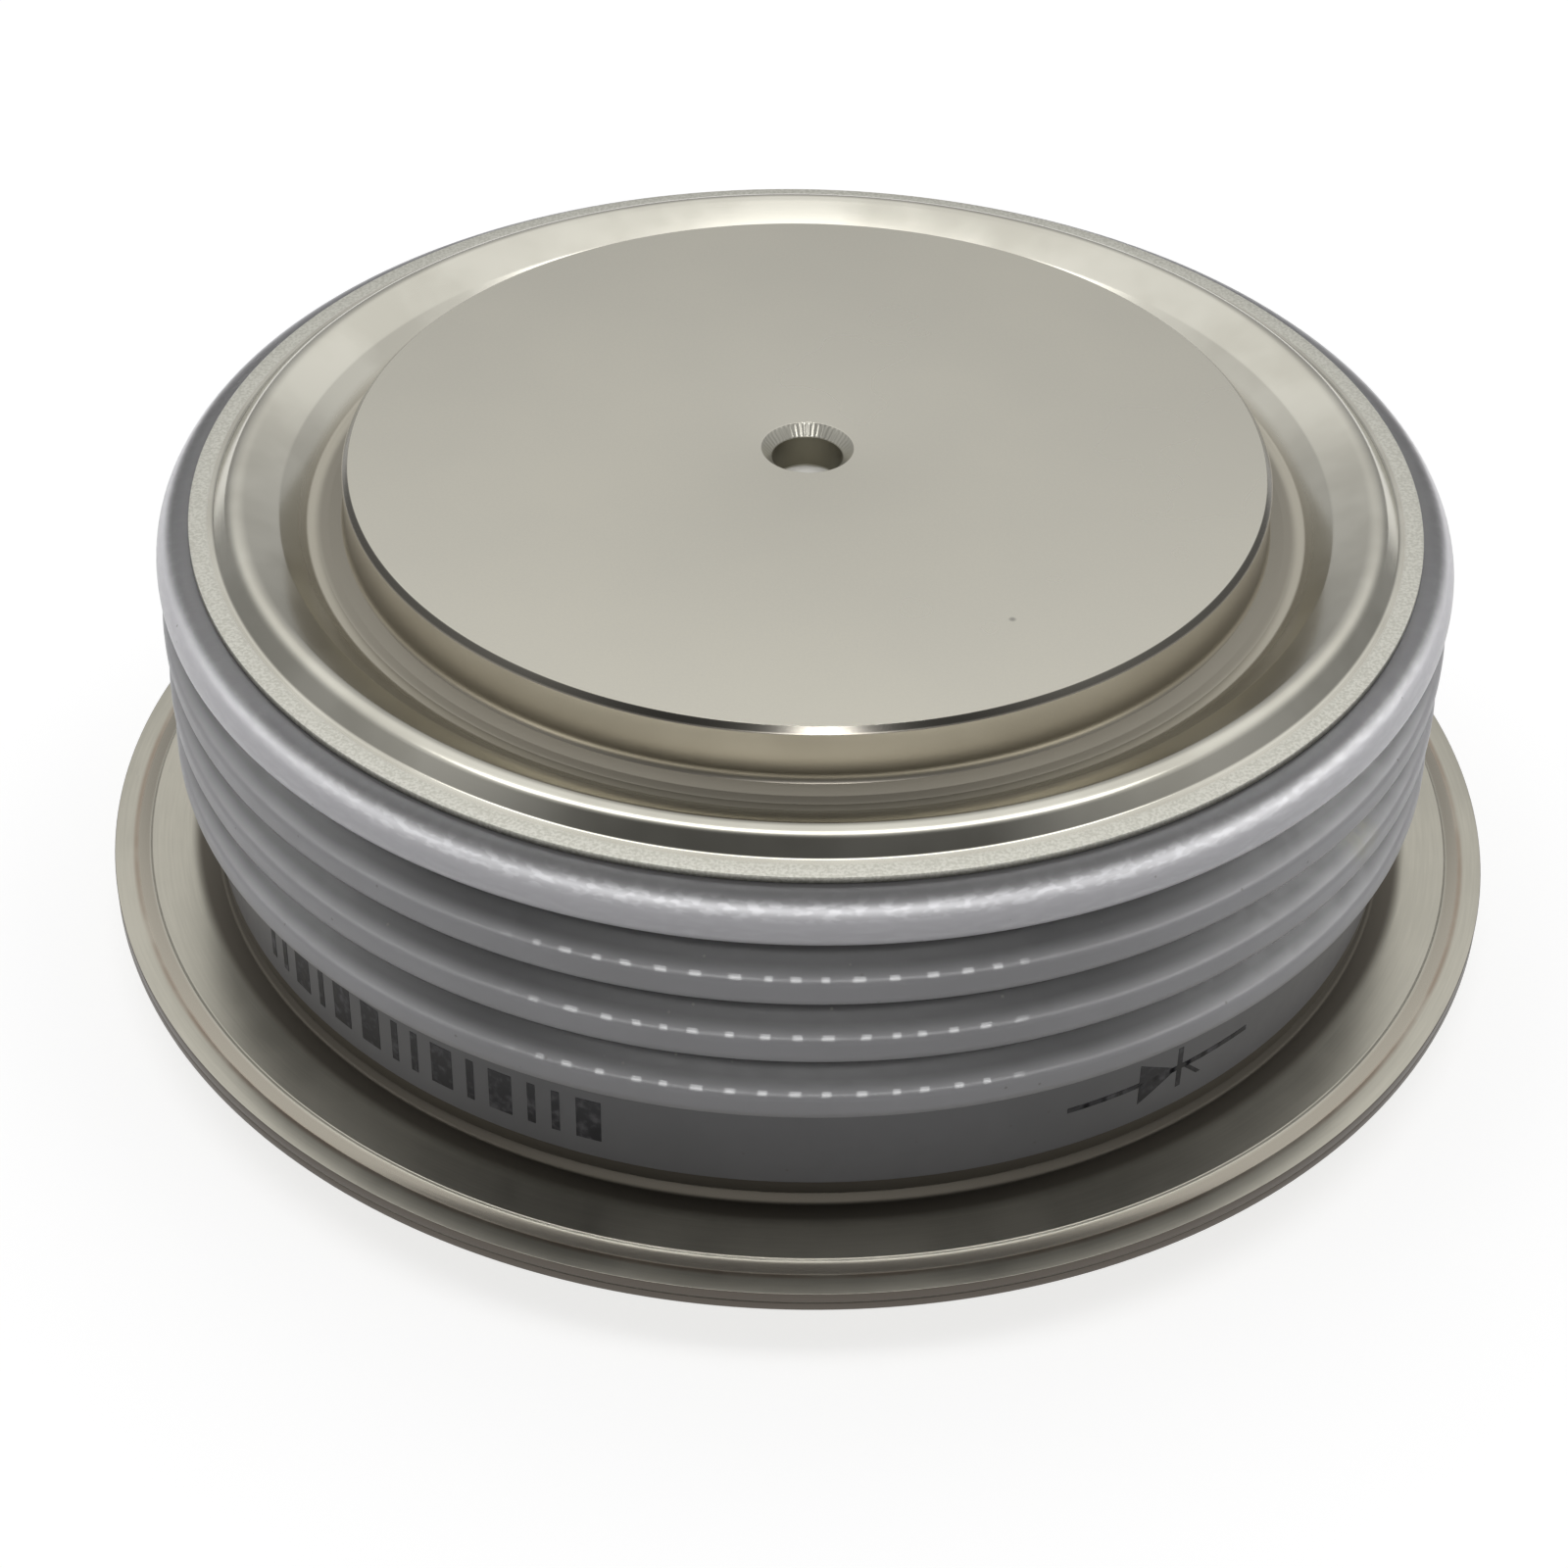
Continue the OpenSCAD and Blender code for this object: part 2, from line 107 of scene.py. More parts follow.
def merged(tree, geometry):
    return put(tree, "GeometryNodeMergeByDistance", {"Geometry": geometry, "Distance": 1e-7}).outputs[0]


def joined(tree, *parts):  # parts put together, with the points they share made one
    both = put(tree, "GeometryNodeJoinGeometry")
    for part in parts:
        tree.links.new(part, both.inputs[0])
    return merged(tree, both.outputs[0])


def makeTurnedTree():  # rounds a profile's corners by its "rounding" attribute and turns it about Z
    kinds = {"Closed": "Int", "Segments": "Int", "Arc Steps": "Int", "Material": "Material"}
    tree, given = newTree("turned_form", kinds)
    outline = put(tree, "GeometryNodeMeshToCurve", {"Mesh": given["Geometry"]}).outputs[0]
    rounding = put(tree, "GeometryNodeInputNamedAttribute", {"Name": "rounding"}).outputs["Attribute"]
    fillet = {"Curve": outline, "Count": given["Arc Steps"], "Radius": rounding, "Limit Radius": True}
    path = put(tree, "GeometryNodeFilletCurve", fillet, mode="POLY").outputs[0]
    size = put(tree, "GeometryNodeAttributeDomainSize", {"Geometry": path}, component="CURVE")
    count = size.outputs["Point Count"]
    rows = whole(tree, "ADD", count, given["Closed"])
    columns = whole(tree, "ADD", given["Segments"], 1)
    grid = put(tree, "GeometryNodeMeshGrid", {"Vertices X": rows, "Vertices Y": columns}).outputs["Mesh"]
    index = put(tree, "GeometryNodeInputIndex").outputs[0]
    here = put(tree, "GeometryNodeInputPosition").outputs[0]
    row = whole(tree, "MODULO", whole(tree, "DIVIDE_FLOOR", index, columns), count)
    sample = {"Geometry": path, "Value": here, "Index": row}
    point = put(tree, "GeometryNodeSampleIndex", sample, data_type="FLOAT_VECTOR").outputs[0]
    radius, _, height = put(tree, "ShaderNodeSeparateXYZ", {0: point}).outputs
    share = calc(tree, "DIVIDE", whole(tree, "MODULO", index, columns), given["Segments"])
    angle = times(tree, share, fullTurn)
    across = times(tree, radius, calc(tree, "COSINE", angle))
    along = times(tree, radius, calc(tree, "SINE", angle))
    turned = movedTo(tree, grid, across, along, height)
    return closeTree(tree, merged(tree, turned), given["Material"])


def makeRibbedTree(turnedTree):  # fills the gap in a ring's profile with like ribs, then turns it
    lengths = ("Rib Pitch", "Rib Depth", "Rib Flank", "Rib Face", "Rib Edge", "Rib Foot", "Groove Round",
               "Band Radius", "First Groove")
    counts = ("Rib Count", "Segments", "Arc Steps")
    kinds = {**{label: "Int" for label in counts}, **{label: "Float" for label in lengths}}
    tree, given = newTree("ribbed_ring", {**kinds, "Material": "Material"})
    perRib, edgeKind, footKind, near = 3, 1, 2, 0.1  # each rib has a groove (0), an edge and a foot
    corners = whole(tree, "MULTIPLY_ADD", given["Rib Count"], perRib, 1)  # and the last groove
    line = put(tree, "GeometryNodeMeshLine", {"Count": corners}).outputs[0]
    index = put(tree, "GeometryNodeInputIndex").outputs[0]
    kind = whole(tree, "MODULO", index, perRib)
    edge = calc(tree, "COMPARE", kind, edgeKind, near)
    foot = calc(tree, "COMPARE", kind, footKind, near)
    proud = calc(tree, "ADD", edge, foot)
    drop = times(tree, whole(tree, "DIVIDE_FLOOR", index, perRib), given["Rib Pitch"])
    drop = calc(tree, "MULTIPLY_ADD", given["Rib Flank"], proud, drop)
    drop = calc(tree, "MULTIPLY_ADD", given["Rib Face"], foot, drop)
    height = calc(tree, "SUBTRACT", given["First Groove"], drop)
    radius = calc(tree, "ADD", given["Band Radius"], times(tree, given["Rib Depth"], proud))
    rounding = times(tree, given["Groove Round"], calc(tree, "SUBTRACT", 1, proud))
    rounding = calc(tree, "MULTIPLY_ADD", given["Rib Edge"], edge, rounding)
    rounding = calc(tree, "MULTIPLY_ADD", given["Rib Foot"], foot, rounding)
    stored = {"Geometry": movedTo(tree, line, radius, 0.0, height), "Name": "rounding", "Value": rounding}
    ribs = put(tree, "GeometryNodeStoreNamedAttribute", stored, data_type="FLOAT", domain="POINT")
    inputs = {"Geometry": joined(tree, ribs.outputs[0], given["Geometry"]), "Closed": 1}
    for label in ("Segments", "Arc Steps", "Material"):
        inputs[label] = given[label]
    turned = put(tree, "GeometryNodeGroup", inputs, node_tree=turnedTree)
    return closeTree(tree, turned.outputs[0], given["Material"])


def makeWrapTree():  # bends flat artwork, drawn in millimetres of arc and height, round a band
    lengths = {"Band Radius": "Float", "Sink": "Float", "Thickness": "Float"}
    tree, given = newTree("wrapped_print", {**lengths, "Material": "Material"})
    fine = put(tree, "GeometryNodeSubdivideMesh", {"Mesh": given["Geometry"], "Level": 2}).outputs[0]
    lift = put(tree, "ShaderNodeCombineXYZ", {"Z": given["Thickness"]}).outputs[0]
    solid = put(tree, "GeometryNodeExtrudeMesh", {"Mesh": fine, "Offset": lift, "Individual": False})
    base = put(tree, "GeometryNodeFlipFaces", {"Mesh": fine}).outputs[0]
    closed = joined(tree, base, solid.outputs["Mesh"])
    here = put(tree, "GeometryNodeInputPosition").outputs[0]
    along, height, rise = put(tree, "ShaderNodeSeparateXYZ", {0: here}).outputs
    reach = calc(tree, "ADD", calc(tree, "SUBTRACT", given["Band Radius"], given["Sink"]), rise)
    angle = calc(tree, "DIVIDE", along, given["Band Radius"])
    across = times(tree, reach, calc(tree, "SINE", angle))
    depth = times(tree, reach, times(tree, calc(tree, "COSINE", angle), -1.0))
    return closeTree(tree, movedTo(tree, closed, across, depth, height), given["Material"])


turnedTree = makeTurnedTree()
ribbedTree = makeRibbedTree(turnedTree)
wrapTree = makeWrapTree()


def outlineMesh(corners, loop=False):  # profile in the XZ plane from (radius, height, rounding) corners
    mesh = bpy.data.meshes.new("outline")
    steps = [(i, i + 1) for i in range(len(corners) - 1)]
    if loop:
        steps.append((len(corners) - 1, 0))
    mesh.from_pydata([(radius * mm, 0, height * mm) for radius, height, _ in corners], steps, [])
    rounding = mesh.attributes.new("rounding", "FLOAT", "POINT")
    rounding.data.foreach_set("value", [corner[2] * mm for corner in corners])
    return mesh


def runTree(piece, tree, values):  # sets the tree's inputs by identifier, before anything is evaluated
    modifier = piece.modifiers.new(tree.name, "NODES")
    modifier.node_group = tree
    for item in tree.interface.items_tree:
        if item.item_type == "SOCKET" and item.in_out == "INPUT" and item.name in values:
            modifier[item.identifier] = values[item.name]


def settle(piece):  # the evaluated form becomes the piece's own plain mesh
    graph = bpy.context.evaluated_depsgraph_get()
    mesh = bpy.data.meshes.new_from_object(piece.evaluated_get(graph))
    piece.modifiers.clear()
    old = piece.data
    piece.data = mesh
    mesh.name = piece.name
    bpy.data.meshes.remove(old)
    for name in ("rounding", "UVMap"):
        if name in mesh.attributes:
            mesh.attributes.remove(mesh.attributes[name])


def faceOut(piece):  # normals of a closed form point outward
    form = bmesh.new()
    form.from_mesh(piece.data)
    bmesh.ops.recalc_face_normals(form, faces=form.faces)
    form.to_mesh(piece.data)
    form.free()


def smooth(piece, sharpAngle):
    piece.data.shade_smooth()
    piece.data.set_sharp_from_angle(angle=math.radians(sharpAngle))


def place(piece, node=None):  # on the one body, hiding the node it stands for
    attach(piece, "root")
    if node:
        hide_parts(node)
    return piece


def newPiece(name, mesh):
    piece = bpy.data.objects.new(name, mesh)
    scene.collection.objects.link(piece)
    return piece


turning = {"segments": 288, "arcSteps": 8, "sharpAngle": 32, "edgeSegments": 3, "edgeAngle": 42}
cutterOverrun = 1  # how far a cutter runs past what it cuts


def turnedPiece(name, corners, finish, tree=None, values=None, loop=False, sheet=0, edge=0, cutters=(),
                stand=None):
    piece = newPiece(name, outlineMesh(corners, loop))
    inputs = {"Segments": turning["segments"], "Arc Steps": turning["arcSteps"], "Closed": int(loop)}
    runTree(piece, tree or turnedTree, {**inputs, "Material": finish, **(values or {})})
    if sheet:
        wall = piece.modifiers.new("wall", "SOLIDIFY")
        wall.thickness = sheet * mm
        wall.use_even_offset = True
    if edge:
        bevel = piece.modifiers.new("edge", "BEVEL")
        bevel.width = edge * mm
        bevel.segments = turning["edgeSegments"]
        bevel.angle_limit = math.radians(turning["edgeAngle"])
    settle(piece)
    faceOut(piece)
    for cutter in cutters:
        hole = piece.modifiers.new("hole", "BOOLEAN")
        hole.object = cutter
        hole.operation = "DIFFERENCE"
        hole.solver = "EXACT"
    if cutters:
        settle(piece)
    for cutter in cutters:
        bpy.data.objects.remove(cutter)
    if stand:
        piece.data.transform(stand)
    smooth(piece, turning["sharpAngle"])
    return piece


# finish helpers: coordinates in millimetres and the few patterns that the finishes share

wideNoise = (0.3, 0.7)  # stretches of a noise's values that a blend runs over
midNoise = (0.35, 0.65)


def newFinish(name):
    finish = bpy.data.materials.new(name)
    finish.use_nodes = True
    finish.node_tree.nodes.clear()
    return finish, finish.node_tree


def closeFinish(finish, colour, rough, normal, metallic=1.0, others=None):
    inputs = {"Base Color": colour, "Metallic": metallic, "Roughness": rough, "Normal": normal}
    shader = put(finish.node_tree, "ShaderNodeBsdfPrincipled", {**inputs, **(others or {})})
    put(finish.node_tree, "ShaderNodeOutputMaterial", {"Surface": shader.outputs[0]})
    return finish


def coordsOf(tree):
    raw = put(tree, "ShaderNodeTexCoord").outputs["Object"]
    point = put(tree, "ShaderNodeVectorMath", {0: raw, "Scale": 1 / mm}, operation="SCALE").outputs[0]
    x, y, z = put(tree, "ShaderNodeSeparateXYZ", {0: point}).outputs
    flat = put(tree, "ShaderNodeCombineXYZ", {"X": x, "Y": y}).outputs[0]
    radius = put(tree, "ShaderNodeVectorMath", {0: flat}, operation="LENGTH").outputs["Value"]
    return {"point": point, "y": y, "z": z, "radius": radius, "angle": calc(tree, "ARCTAN2", y, x)}


def noise(tree, point, size, detail=2.0, stretch=None):  # noise whose features are about size millimetres
    if stretch:
        point = put(tree, "ShaderNodeMapping", {"Vector": point, "Scale": stretch}).outputs[0]
    inputs = {"Vector": point, "Scale": 1 / size, "Detail": detail}
    return put(tree, "ShaderNodeTexNoise", inputs).outputs["Fac"]


def remap(tree, value, low, high, toLow=0.0, toHigh=1.0, soft=True):
    inputs = {"Value": value, 1: low, 2: high, 3: toLow, 4: toHigh}
    kind = "SMOOTHSTEP" if soft else "LINEAR"
    return put(tree, "ShaderNodeMapRange", inputs, interpolation_type=kind).outputs[0]


def between(tree, value, low, high, fade):  # 1 inside a stretch, fading to 0 outside it
    rising = remap(tree, value, low - fade, low + fade)
    falling = remap(tree, value, high - fade, high + fade, 1.0, 0.0)
    return times(tree, rising, falling)


def onArc(tree, at, arc, fade):  # the same along an arc, given in degrees
    start, end = (math.radians(angle) for angle in arc)
    return between(tree, at["angle"], start, end, fade)


def offsets(base, steps):
    return [base + step for step in steps]


def mixed(tree, first, second, share):  # weighted sum of two patterns
    return calc(tree, "MULTIPLY_ADD", first, share, times(tree, second, 1 - share))


def patch(tree, at, centre, size, strength):  # soft round patch about a point
    away = put(tree, "ShaderNodeVectorMath", {0: at["point"], 1: centre}, operation="DISTANCE")
    return remap(tree, away.outputs["Value"], *size, strength, 0.0)


def tint(tree, share, first, second):  # colours are triples or sockets
    def full(colour):
        return colour if isinstance(colour, bpy.types.NodeSocket) else (*colour, 1.0)
    inputs = {0: share, 6: full(first), 7: full(second)}
    return put(tree, "ShaderNodeMix", inputs, data_type="RGBA").outputs[2]


def relief(tree, height, depth, normal=None):  # bump whose height runs from 0 to depth millimetres
    inputs = {"Height": height, "Distance": depth * mm, "Strength": 1.0}
    if normal:
        inputs["Normal"] = normal
    return put(tree, "ShaderNodeBump", inputs).outputs[0]


def ringLines(tree, at, pitch, waves):  # fine lines that run round the axis
    inputs = {"X": at["radius"], "Y": times(tree, at["angle"], waves * pitch), "Z": at["z"]}
    rings = put(tree, "ShaderNodeCombineXYZ", inputs).outputs[0]
    return noise(tree, rings, pitch)


def ringZones(tree, at, zones, colour, rough):  # rings of another colour and roughness, by radius
    for radii, fade, zoneColour, zoneRough in zones:
        share = between(tree, at["radius"], *radii, fade)
        colour = tint(tree, share, colour, zoneColour)
        rough = remap(tree, share, 0.0, 1.0, rough, zoneRough, soft=False)
    return colour, rough


# plated copper of the two poles

poleLook = {
    "colour": (0.665, 0.64, 0.553), "shade": (0.638, 0.616, 0.538), "cloudSize": 16,
    "roughness": (0.27, 0.31), "grainSize": 0.13, "grainDepth": 0.0011, "grainShare": 0.35,
    "lapSize": 0.09, "lapStretch": (1.0, 0.03, 1.0), "lapDepth": 0.0007,
    "chatterWaves": 52, "chatterRadii": (1.84, 2.3), "chatterFade": 0.05, "chatterDepth": 0.007,
    "speckAt": (9.87, -14.53, 26.5), "speckSize": (0.05, 0.24), "speckStrength": 0.8,
    "speckColour": (0.30, 0.29, 0.26),
    "zones": [  # radii, fade, colour, roughness
        ((-1.0, 2.33), 0.02, (0.66, 0.64, 0.56), 0.34),  # the dowel hole's mouth
        ((-1.0, 1.84), 0.02, (0.44, 0.42, 0.35), 0.45),  # its wall, darker: painted shade in the hole
        ((-1.0, 1.72), 0.03, (0.95, 0.94, 0.89), 0.45),  # its drilled end, near white: painted highlight
        ((23.2, 26.0), 0.04, (0.23, 0.218, 0.19), 0.2),  # the face's edge, dark: painted dark reflection
        ((23.45, 26.0), 0.03, (0.49, 0.455, 0.39), 0.30),  # the neck, darker: painted shade
        ((23.75, 26.0), 0.2, (0.25, 0.225, 0.185), 0.52),  # its foot, darker and browner: painted shade in the corner
    ],
}


def makePlatedCopper(look):
    finish, tree = newFinish("plated_copper")
    at = coordsOf(tree)
    cloud = noise(tree, at["point"], look["cloudSize"], detail=3.0)
    grain = noise(tree, at["point"], look["grainSize"])
    lap = noise(tree, at["point"], look["lapSize"], detail=1.0, stretch=look["lapStretch"])
    mottle = mixed(tree, grain, cloud, look["grainShare"])
    colour = tint(tree, remap(tree, mottle, *midNoise), look["shade"], look["colour"])
    speck = patch(tree, at, look["speckAt"], look["speckSize"], look["speckStrength"])
    colour = tint(tree, speck, colour, look["speckColour"])
    rough = remap(tree, cloud, *wideNoise, *look["roughness"])
    colour, rough = ringZones(tree, at, look["zones"], colour, rough)
    normal = relief(tree, lap, look["lapDepth"], relief(tree, grain, look["grainDepth"]))
    waves = calc(tree, "SINE", times(tree, at["angle"], look["chatterWaves"]))  # the drill's chatter
    mouth = between(tree, at["radius"], *look["chatterRadii"], look["chatterFade"])
    normal = relief(tree, times(tree, waves, mouth), look["chatterDepth"], normal)
    return closeFinish(finish, colour, rough, normal)


# plated sheet of the diaphragm: bright on the pressed bead, matt and grainy on the flat seal ring

sheetLook = {
    "colour": (0.69, 0.67, 0.59), "shade": (0.60, 0.58, 0.505), "cloudSize": 6,
    "roughness": (0.15, 0.20), "linePitch": 0.07, "lineWaves": 14, "lineDepth": 0.0006,
    "zones": [  # radii, fade, colour, roughness
        ((20.0, 25.7), 0.35, (0.53, 0.50, 0.42), 0.42),  # channel floor, darker and a little browner: painted shade in the channel
        ((20.0, 24.9), 0.25, (0.335, 0.312, 0.262), 0.45),  # darker along the pole's foot, braze ring included: painted shade in that corner
    ],
    "sealRadii": (30.23, 30.47), "sealColour": (0.76, 0.75, 0.68), "sealShade": (0.62, 0.61, 0.54),
    "sealRoughness": 0.46, "sealGrain": 0.16, "sealDepth": 0.004,
}


def makePlatedSheet(look):
    finish, tree = newFinish("plated_sheet")
    at = coordsOf(tree)
    cloud = noise(tree, at["point"], look["cloudSize"], detail=3.0)
    lines = ringLines(tree, at, look["linePitch"], look["lineWaves"])
    grain = noise(tree, at["point"], look["sealGrain"])
    seal = remap(tree, at["radius"], *look["sealRadii"])
    bright = tint(tree, remap(tree, cloud, *midNoise), look["shade"], look["colour"])
    matt = tint(tree, remap(tree, grain, *midNoise), look["sealShade"], look["sealColour"])
    rough = remap(tree, cloud, *wideNoise, *look["roughness"])
    rough = remap(tree, seal, 0.0, 1.0, rough, look["sealRoughness"], soft=False)
    height = times(tree, grain, times(tree, seal, look["sealDepth"] / look["lineDepth"]))
    normal = relief(tree, calc(tree, "ADD", lines, height), look["lineDepth"])
    colour, rough = ringZones(tree, at, look["zones"], tint(tree, seal, bright, matt), rough)
    return closeFinish(finish, colour, rough, normal)


# satin plate of the weld flange, with a patchy brown line where its slope meets the rim

flangeLook = {
    "colour": (0.575, 0.55, 0.47), "shade": (0.495, 0.475, 0.405), "cloudSize": 9, "lineShare": 0.3,
    "roughness": (0.29, 0.35), "linePitch": 0.11, "lineWaves": 10, "lineDepth": 0.0008,
    "brownLineRadii": (35.75, 36.05), "brownLineFade": 0.12, "brownLineHeights": (3.6, 3.8),
    "brownLineColour": (0.34, 0.27, 0.21),
    "stainSize": 5.0, "patchNoise": (0.3, 0.6), "patchShare": (0.35, 0.85),
    "zones": [  # radii, fade, colour, roughness
        ((20.0, 32.7), 0.35, (0.16, 0.145, 0.12), 0.5),  # root beside the ceramic, dark: painted shade
        ((35.2, 35.8), 0.1, (0.40, 0.37, 0.31), 0.17),  # slope to the rim
        ((37.025, 40.0), 0.012, (0.12, 0.105, 0.09), 0.4),  # dark cut edge
    ],
}


def makeFlangeSheet(look):
    finish, tree = newFinish("flange_sheet")
    at = coordsOf(tree)
    cloud = noise(tree, at["point"], look["cloudSize"], detail=4.0)
    lines = ringLines(tree, at, look["linePitch"], look["lineWaves"])
    mottle = mixed(tree, lines, cloud, look["lineShare"])
    colour = tint(tree, remap(tree, mottle, *midNoise), look["shade"], look["colour"])
    weld = between(tree, at["radius"], *look["brownLineRadii"], look["brownLineFade"])
    above = remap(tree, at["z"], *look["brownLineHeights"])  # only on the upper sheet's top side
    patches = noise(tree, at["point"], look["stainSize"], detail=3.0)
    patchy = remap(tree, patches, *look["patchNoise"], *look["patchShare"])
    colour = tint(tree, times(tree, times(tree, weld, above), patchy), colour, look["brownLineColour"])
    rough = remap(tree, cloud, *wideNoise, *look["roughness"])
    colour, rough = ringZones(tree, at, look["zones"], colour, rough)
    return closeFinish(finish, colour, rough, relief(tree, lines, look["lineDepth"]))


# glazed alumina: pale lavender-grey glaze with a slight ripple, and a plated strip at the foot

ceramicLook = {
    "colour": (0.315, 0.313, 0.324), "shade": (0.285, 0.283, 0.291), "cloudSize": 9, "ior": 1.4,
    "roughness": (0.36, 0.42), "rippleNoise": (0.38, 0.62), "rippleSize": 0.8, "rippleDepth": 0.006,
    "peelSize": 0.28, "peelDepth": 0.0016,
    # rib shades: painted shade in the grooves, painted light on the rib faces
    "ribDepths": (-0.8, -0.04), "paintedRibShades": (0.31, 1.75), "ribFade": 0.1,
    "crownPaintedLight": (0.73, 0.72, 0.755), "crownHeights": (-2.3, -0.2), "crownFade": 0.3,
    "marginPaintedShade": (0.10, 0.098, 0.10), "marginHeights": (-0.5, -0.08), "marginReach": (5.0, 18.0),
    "beadPitch": 1.5, "beadWander": 3.0, "beadEnds": (0.15, 0.3), "beadHeights": (0.072, 0.12),
    "beadRise": 0.1, "beadLimits": (1.4, 1.75), "beadDepths": (-1.0, -0.7), "beadArc": (-112, -71.5),
    "beadFade": 0.06,
    "glintSize": 0.2, "glintStretch": 0.3, "glintNoise": (0.46, 0.62), "glintCoat": (0.6, 1.0),
    "glintColour": (0.86, 0.85, 0.89), "glintHeights": (-0.85, -0.25), "glintFade": 0.15,
    "glintArc": (-128, -52), "glintArcFade": 0.25,
    "coatIor": 1.8, "coatRoughness": 0.42,
    "speckSize": 1.4, "speckReach": (0.03, 0.075), "speckStrength": 0.6, "speckColour": (0.24, 0.22, 0.20),
    "stripColour": (0.17, 0.155, 0.13), "stripRoughness": 0.42, "stripFade": 0.04,
    "stainAt": (27.2, -18.0, 17.0), "stainSize": (0.3, 2.2), "stainStrength": 0.55,
    "stainColour": (0.62, 0.60, 0.36),
}


def glazeGlints(tree, at, look, rows):  # fine uneven streaks that run round the rib
    stretched = times(tree, at["angle"], rows["radius"] * look["glintStretch"])
    unrolled = put(tree, "ShaderNodeCombineXYZ", {"X": stretched, "Y": at["z"]}).outputs[0]
    return remap(tree, noise(tree, unrolled, look["glintSize"], detail=1.0), *look["glintNoise"])


def glazeBeads(tree, at, look, rows):  # short beads on the upper edges of the lower ribs
    along = times(tree, at["angle"], rows["radius"])
    wander = noise(tree, at["point"], look["beadWander"], detail=1.0)
    wander = calc(tree, "MULTIPLY_ADD", wander, look["beadPitch"], along)
    step = calc(tree, "PINGPONG", wander, look["beadPitch"] / 2)
    dashes = remap(tree, step, *look["beadEnds"], 1.0, 0.0)
    level = calc(tree, "SUBTRACT", at["z"], rows["first"] + look["beadRise"])
    phase = calc(tree, "PINGPONG", level, rows["pitch"] / 2)
    onEdge = remap(tree, phase, *look["beadHeights"], 1.0, 0.0)
    below = remap(tree, at["z"], *offsets(rows["first"], look["beadLimits"]), 1.0, 0.0)
    outer = remap(tree, at["radius"], *offsets(rows["radius"], look["beadDepths"]))
    for mask in (onEdge, below, outer, onArc(tree, at, look["beadArc"], look["beadFade"])):
        dashes = times(tree, dashes, mask)
    return dashes


def makeGlazedAlumina(look, stripTop, rows):
    finish, tree = newFinish("glazed_alumina")
    at = coordsOf(tree)
    cloud = noise(tree, at["point"], look["cloudSize"], detail=4.0)
    ripple = noise(tree, at["point"], look["rippleSize"], detail=1.0)
    peel = noise(tree, at["point"], look["peelSize"], detail=1.0)
    colour = tint(tree, remap(tree, cloud, *wideNoise), look["shade"], look["colour"])
    depths = offsets(rows["radius"], look["ribDepths"])
    paintedRibShade = remap(tree, at["radius"], *depths, *look["paintedRibShades"])  # painted shade in the grooves and painted light on the rib faces
    onRibs = remap(tree, at["z"], rows["last"], rows["last"] + look["ribFade"])
    shaded = {0: onRibs, 6: colour, 7: paintedRibShade}
    colour = put(tree, "ShaderNodeMix", shaded, data_type="RGBA", blend_type="MULTIPLY").outputs[2]
    # painted light: the top rib is painted paler where its highlight falls
    crown = between(tree, at["z"], *offsets(rows["top"], look["crownHeights"]), look["crownFade"])
    colour = tint(tree, crown, colour, look["crownPaintedLight"])
    glints = glazeGlints(tree, at, look, rows)
    # painted glints: bright streaks painted into the colour along the top rib's front
    onCrown = between(tree, at["z"], *offsets(rows["top"], look["glintHeights"]), look["glintFade"])
    inFront = onArc(tree, at, look["glintArc"], look["glintArcFade"])
    streaks = times(tree, times(tree, glints, onCrown), inFront)
    colour = tint(tree, streaks, colour, look["glintColour"])
    coat = times(tree, crown, remap(tree, glints, 0.0, 1.0, *look["glintCoat"]))
    cells = put(tree, "ShaderNodeTexVoronoi", {"Vector": at["point"], "Scale": 1 / look["speckSize"]})
    speck = remap(tree, cells.outputs["Distance"], *look["speckReach"], look["speckStrength"], 0.0)
    colour = tint(tree, speck, colour, look["speckColour"])
    stain = patch(tree, at, look["stainAt"], look["stainSize"], look["stainStrength"])
    colour = tint(tree, times(tree, stain, ripple), colour, look["stainColour"])
    # painted shade: a dark band just under the seal ring, on the front only
    margin = remap(tree, at["z"], *offsets(rows["top"], look["marginHeights"]))
    margin = times(tree, margin, remap(tree, at["y"], *look["marginReach"], 1.0, 0.0))  # not at the back
    colour = tint(tree, margin, colour, look["marginPaintedShade"])
    strip = remap(tree, at["z"], stripTop - look["stripFade"], stripTop + look["stripFade"], 1.0, 0.0)
    colour = tint(tree, strip, colour, look["stripColour"])
    rough = remap(tree, ripple, *look["rippleNoise"], *look["roughness"])
    rough = remap(tree, strip, 0.0, 1.0, rough, look["stripRoughness"], soft=False)
    normal = relief(tree, peel, look["peelDepth"], relief(tree, ripple, look["rippleDepth"]))
    glossy = {
        "IOR": look["ior"], "Coat Weight": calc(tree, "MAXIMUM", coat, glazeBeads(tree, at, look, rows)),
        "Coat Roughness": look["coatRoughness"], "Coat IOR": look["coatIor"],
    }
    return closeFinish(finish, colour, rough, normal, metallic=strip, others=glossy)


# ink of the marks on the band, thin enough in places to show the glaze

inkLook = {
    "colour": (0.035, 0.035, 0.04), "faded": (0.17, 0.165, 0.175), "roughness": (0.35, 0.6),
    "wearSize": 0.6, "wearNoise": (0.45, 0.75), "depth": 0.004,
}


def makeInk(look):
    finish, tree = newFinish("marking_ink")
    wear = noise(tree, coordsOf(tree)["point"], look["wearSize"], detail=4.0)
    colour = tint(tree, remap(tree, wear, *look["wearNoise"]), look["colour"], look["faded"])
    rough = remap(tree, wear, *wideNoise, *look["roughness"])
    return closeFinish(finish, colour, rough, relief(tree, wear, look["depth"]), metallic=0.0)


# finishes of the pieces inside the capsule and of the gate's metal parts

